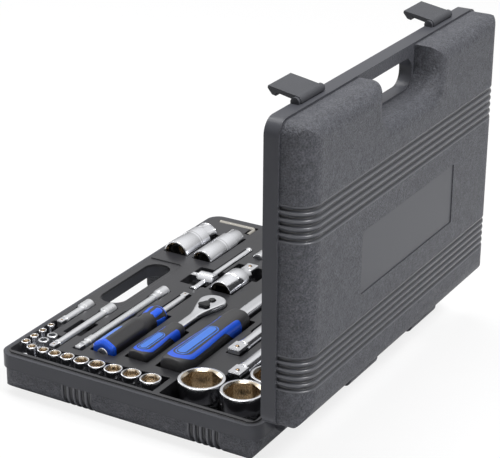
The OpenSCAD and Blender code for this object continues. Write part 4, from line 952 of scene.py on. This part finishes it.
single = plateOn("spinner_inlay", inlayOutline(inlay),
                 [(0, 1, -1.2 * mm, 0), (0, 1, 0.05 * mm, 0), (0.25 * mm, 1, 0.22 * mm, 0),
                  (0.8 * mm, 1, 0.3 * mm, 0), (0.8 * mm, 0.7, 0.32 * mm, 0), (0.8 * mm, 0.4, 0.32 * mm, 0),
                  (0.8 * mm, 0.1, 0.32 * mm, 0)], onBulge, [blueAbs])
inlays = applyTree("spinner_inlays", roundTree(blueAbs), {"Count": inlay["copies"], "Shape": single}, blueAbs,
                   gripPlace)
bpy.data.objects.remove(single)
rideWith(inlays, "spinner_grip", replace=False)


# Small grip dots: a grid of rays finds the flank, one dome stands at each hit
def dotTree(material):
    tree = newTree("dotsOnFlank", ("Length", "Height", "Dot Radius", "Side"), ("Columns", "Rows"))
    tree.interface.new_socket("Target", in_out="INPUT", socket_type="NodeSocketObject")
    tree.interface.new_socket("Centre", in_out="INPUT", socket_type="NodeSocketVector")
    source = tree.nodes.new("NodeGroupInput")
    value = source.outputs
    grid = addNode(tree, "GeometryNodeMeshGrid", {"Size X": value["Length"], "Size Y": value["Height"],
                                                 "Vertices X": value["Columns"], "Vertices Y": value["Rows"]})
    upright = addNode(tree, "GeometryNodeTransform", {"Geometry": grid, "Translation": value["Centre"],
                                                     "Rotation": (math.pi / 2, 0, 0)})
    target = addNode(tree, "GeometryNodeObjectInfo", {"Object": value["Target"]})
    here = addNode(tree, "GeometryNodeInputPosition")
    away = addNode(tree, "ShaderNodeMath", {0: value["Side"], 1: 0.05}, operation="MULTIPLY")
    start = addNode(tree, "ShaderNodeVectorMath",
                    {0: here, 1: addNode(tree, "ShaderNodeCombineXYZ", {1: away})}, operation="ADD")
    inwards = addNode(tree, "ShaderNodeMath", {0: value["Side"], 1: -1.0}, operation="MULTIPLY")
    cast = addNode(tree, "GeometryNodeRaycast", {"Target Geometry": target.outputs["Geometry"],
                                                "Source Position": start,
                                                "Ray Direction": addNode(tree, "ShaderNodeCombineXYZ",
                                                                         {1: inwards}),
                                                "Ray Length": 0.1})
    hits = {item.name: item for item in cast.outputs}
    moved = addNode(tree, "GeometryNodeSetPosition", {"Geometry": upright, "Position": hits["Hit Position"]})
    dome = addNode(tree, "GeometryNodeMeshUVSphere", {"Segments": 10, "Rings": 6, "Radius": value["Dot Radius"]})
    placed = addNode(tree, "GeometryNodeInstanceOnPoints", {"Points": moved, "Instance": dome,
                                                           "Selection": hits["Is Hit"]})
    real = addNode(tree, "GeometryNodeRealizeInstances", {0: placed})
    smooth = addNode(tree, "GeometryNodeSetShadeSmooth", {0: real})
    finish = addNode(tree, "GeometryNodeSetMaterial", {"Geometry": smooth, "Material": material})
    result = tree.nodes.new("NodeGroupOutput")
    tree.links.new(finish.outputs[0], result.inputs[0])
    return tree


dots = dotTree(blackGrip)
for name, handle in handles.items():
    low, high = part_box(name + "_grip")
    length, radius = high.x - low.x, (high.y - low.y) / 2
    middle = (low + high) / 2
    span = length * 0.5
    for side, word in ((1, "far"), (-1, "near")):
        rows = applyTree(name + "_dots_" + word, dots,
                         {"Length": span, "Height": radius * 0.75, "Dot Radius": 0.55 * mm, "Side": float(side),
                          "Columns": int(span / (2.6 * mm)), "Rows": 4, "Target": handle,
                          "Centre": (high.x - length * 0.38, middle.y, middle.z - radius * 0.05)}, blackGrip)
        rideWith(rows, name + "_grip", replace=False)
print("inlays and grip dots made: 5")


# ---- universal joint: mouth section and housing turned in one, ball with its square ----
jointShape = {"mouth": 12.2, "housing": 13.0, "step": 21.5, "lip": 37.0, "ball": 11.8, "neck": 8.0, "bore": 15.5}


def universalJoint(spec):
    n = 48
    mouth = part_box("joint_socket_end")[1].x
    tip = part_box("joint_drive_end")[0].x
    low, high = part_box("joint_cross")
    middle = (low + high) / 2
    place = Matrix.Translation((mouth, middle.y, middle.z)) @ toX
    side = 12.7 + 0.15
    step, lip, r = spec["step"], spec["lip"], spec["housing"]
    outer = [("circle", 11.3, 0), ("circle", 11.9, -0.3), ("circle", spec["mouth"], -1.0),
             ("circle", spec["mouth"], 0.6 - step), ("circle", spec["mouth"] + 0.15, 0.2 - step),
             ("circle", r - 0.3, -0.2 - step), ("circle", r, -0.8 - step), ("circle", r, 1.0 - lip),
             ("circle", r - 0.3, 0.35 - lip), ("circle", r - 0.6, -lip)]
    cavity = spec["ball"] + 0.3
    centre = (mouth - middle.x) / mm
    inner = [("circle", cavity, 0.4 - lip), ("circle", cavity, -centre)]
    inner += [("circle", cavity * math.sin(math.radians(a)), cavity * math.cos(math.radians(a)) - centre)
              for a in (75, 60, 45, 30, 15)]
    inner += [("circle", 0.4, cavity - centre), ("circle", 0.4, -spec["bore"]),
             ("square", side, 0.1 - spec["bore"]), ("square", side, -2.4), ("square", side + 1.0, -1.7),
             ("circle", 9.9, -1.5), ("circle", 10.3, -0.2)]
    rings = [ring(shape, size * mm, along * mm, n) for shape, size, along in outer + inner]
    spans = [0] * (len(outer) + 8) + [1] * 6 + [0]
    piece = skinRings("joint_housing", rings, [chromePlate, darkMouthMetal], spans, place, loop=True)
    rideWith(piece, "joint_socket_end")
    # ball, round neck and square
    end = (mouth - tip) / mm
    ball = spec["ball"]
    rings = []
    for k in range(20):
        angle = math.radians(48 + k * 89 / 19)
        rings.append(ring("circle", ball * math.sin(angle) * mm, (ball * math.cos(angle) - centre) * mm, n))
    base = 16.3
    rings += [ring("circle", spec["neck"] * mm, -(centre + ball * 0.74) * mm, n),
              ring("circle", spec["neck"] * mm, (base + 0.7 - end) * mm, n),
              ring("circle", (spec["neck"] - 0.6) * mm, (base - end) * mm, n),
              ring("square", 12.7 * mm, (base - 0.4 - end) * mm, n, 8.5 * mm),
              ring("square", 12.7 * mm, (1.1 - end) * mm, n, 8.5 * mm),
              ring("square", 11.2 * mm, -end * mm, n, 7.4 * mm)]
    piece = skinRings("joint_ball", rings, [chromePlate], None, place)
    rideWith(piece, "joint_drive_end")


universalJoint(jointShape)
print("universal joint made")


# ---- balls of the spring detents: a browned dome in a pressed ring on each square ----
# node, square, share of the drive square's length from its free end, end (1: towards +X)
detents = (("large_extension_125", 12.7, 7.4, 1), ("large_extension_250", 12.7, 7.4, 1),
           ("small_extension_50", 6.35, 3.7, 1), ("small_extension_100", 6.35, 3.7, 1),
           ("spinner_shaft", 6.35, 3.7, -1), ("joint_drive_end", 12.7, 7.2, -1))
for node, square, back, side in detents:
    low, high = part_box(node)
    r = square * 0.17 * mm
    x = high.x - back * mm if side > 0 else low.x + back * mm
    z = (low.z + high.z) / 2 if node != "joint_drive_end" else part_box("joint_cross")[0].z / 2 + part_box("joint_cross")[1].z / 2
    top = z + square / 2 * mm
    collar = [("circle", 1.42, -0.2), ("circle", 1.42, 0.0), ("circle", 1.34, 0.05), ("circle", 1.22, 0.05),
              ("circle", 1.12, -0.05), ("circle", 1.0, -0.06)]
    rings = [ring(shape, size * r, along * r * 1.2, 32) for shape, size, along in collar]
    spans = [0] * len(rings)
    for k in range(1, 7):
        angle = math.pi / 2 * k / 6.2
        rings.append(ring("circle", r * math.cos(angle), (math.sin(angle) * 0.62 - 0.07) * r, 32))
        spans.append(1)
    place = Matrix.Translation((x, (low.y + high.y) / 2, top))
    rideWith(skinRings(node + "_detent", rings, [chromePlate, ballSteel], spans, place), node,
             replace=False)
print("detent balls made:", len(detents))


# ---- floor, lamps and background ----

studio = {"floor": "#e9e9ea", "glow": 0.82, "world": 0.15, "horizon": 0.3, "overhead": 1.15,
          "lamps": [("key", (0.3, 1.9, 2.6), (0.0, 0.12, 0.12), 0.8, 84.0),
                    ("top", (-0.1, -0.4, 2.2), (0.0, 0.0, 0.05), 1.3, 38.0),
                    ("front", (-0.6, -2.0, 1.3), (0.0, 0.0, 0.1), 1.2, 10.0)]}


def setStage(spec):
    # The floor is white to the camera and keeps a faint shadow
    material, tree, surface, place = newMaterial("paleFloor")
    surface.inputs["Base Color"].default_value = linear(spec["floor"])
    surface.inputs["Roughness"].default_value = 0.9
    rays = addNode(tree, "ShaderNodeLightPath")
    share = addNode(tree, "ShaderNodeMath", {0: rays.outputs["Is Camera Ray"], 1: spec["glow"]},
                    operation="MULTIPLY")
    glow = addNode(tree, "ShaderNodeEmission", {"Color": (1, 1, 1, 1), "Strength": 1.0})
    both = addNode(tree, "ShaderNodeMixShader", {0: share, 1: surface, 2: glow})
    output = next(node for node in tree.nodes if node.type == "OUTPUT_MATERIAL")
    tree.links.new(both.outputs[0], output.inputs["Surface"])
    mesh = bpy.data.meshes.new("floor")
    half = 6
    mesh.from_pydata([(-half, -half, -0.0002), (half, -half, -0.0002), (half, half, -0.0002),
                      (-half, half, -0.0002)], [], [(0, 1, 2, 3)])
    mesh.materials.append(material)
    floor = bpy.data.objects.new("floor", mesh)
    scene.collection.objects.link(floor)
    world = bpy.data.worlds.new("studio")
    scene.world = world
    world.use_nodes = True
    tree = world.node_tree
    tree.nodes.clear()
    rays = addNode(tree, "ShaderNodeLightPath")
    seen = addNode(tree, "ShaderNodeMath", {0: rays.outputs["Is Camera Ray"], 1: rays.outputs["Is Glossy Ray"]},
                   operation="MAXIMUM")
    # mirrored surroundings: bright overhead, dimmer towards the horizon
    facing = addNode(tree, "ShaderNodeSeparateXYZ", {0: addNode(tree, "ShaderNodeNewGeometry").outputs["Incoming"]})
    sky = addNode(tree, "ShaderNodeMapRange", {"Value": facing.outputs[2], "From Min": 0.05, "From Max": -0.75,
                                              "To Min": spec["horizon"], "To Max": spec["overhead"]})
    strength = addNode(tree, "ShaderNodeMix", {0: rays.outputs["Is Camera Ray"], 2: sky, 3: 1.0})
    light = addNode(tree, "ShaderNodeBackground", {"Color": (1, 1, 1, 1), "Strength": spec["world"]})
    white = addNode(tree, "ShaderNodeBackground", {"Color": (1, 1, 1, 1), "Strength": strength})
    mix = addNode(tree, "ShaderNodeMixShader", {0: seen, 1: light, 2: white})
    addNode(tree, "ShaderNodeOutputWorld", {"Surface": mix})
    for name, place, target, size, power in spec["lamps"]:
        data = bpy.data.lights.new(name, "AREA")
        data.shape = "DISK"
        data.size = size
        data.energy = power
        lamp = bpy.data.objects.new(name, data)
        scene.collection.objects.link(lamp)
        lamp.location = place
        lamp.rotation_euler = (Vector(place) - Vector(target)).to_track_quat("Z", "Y").to_euler()


setStage(studio)
scene.view_settings.view_transform = "Standard"
print("stage set")
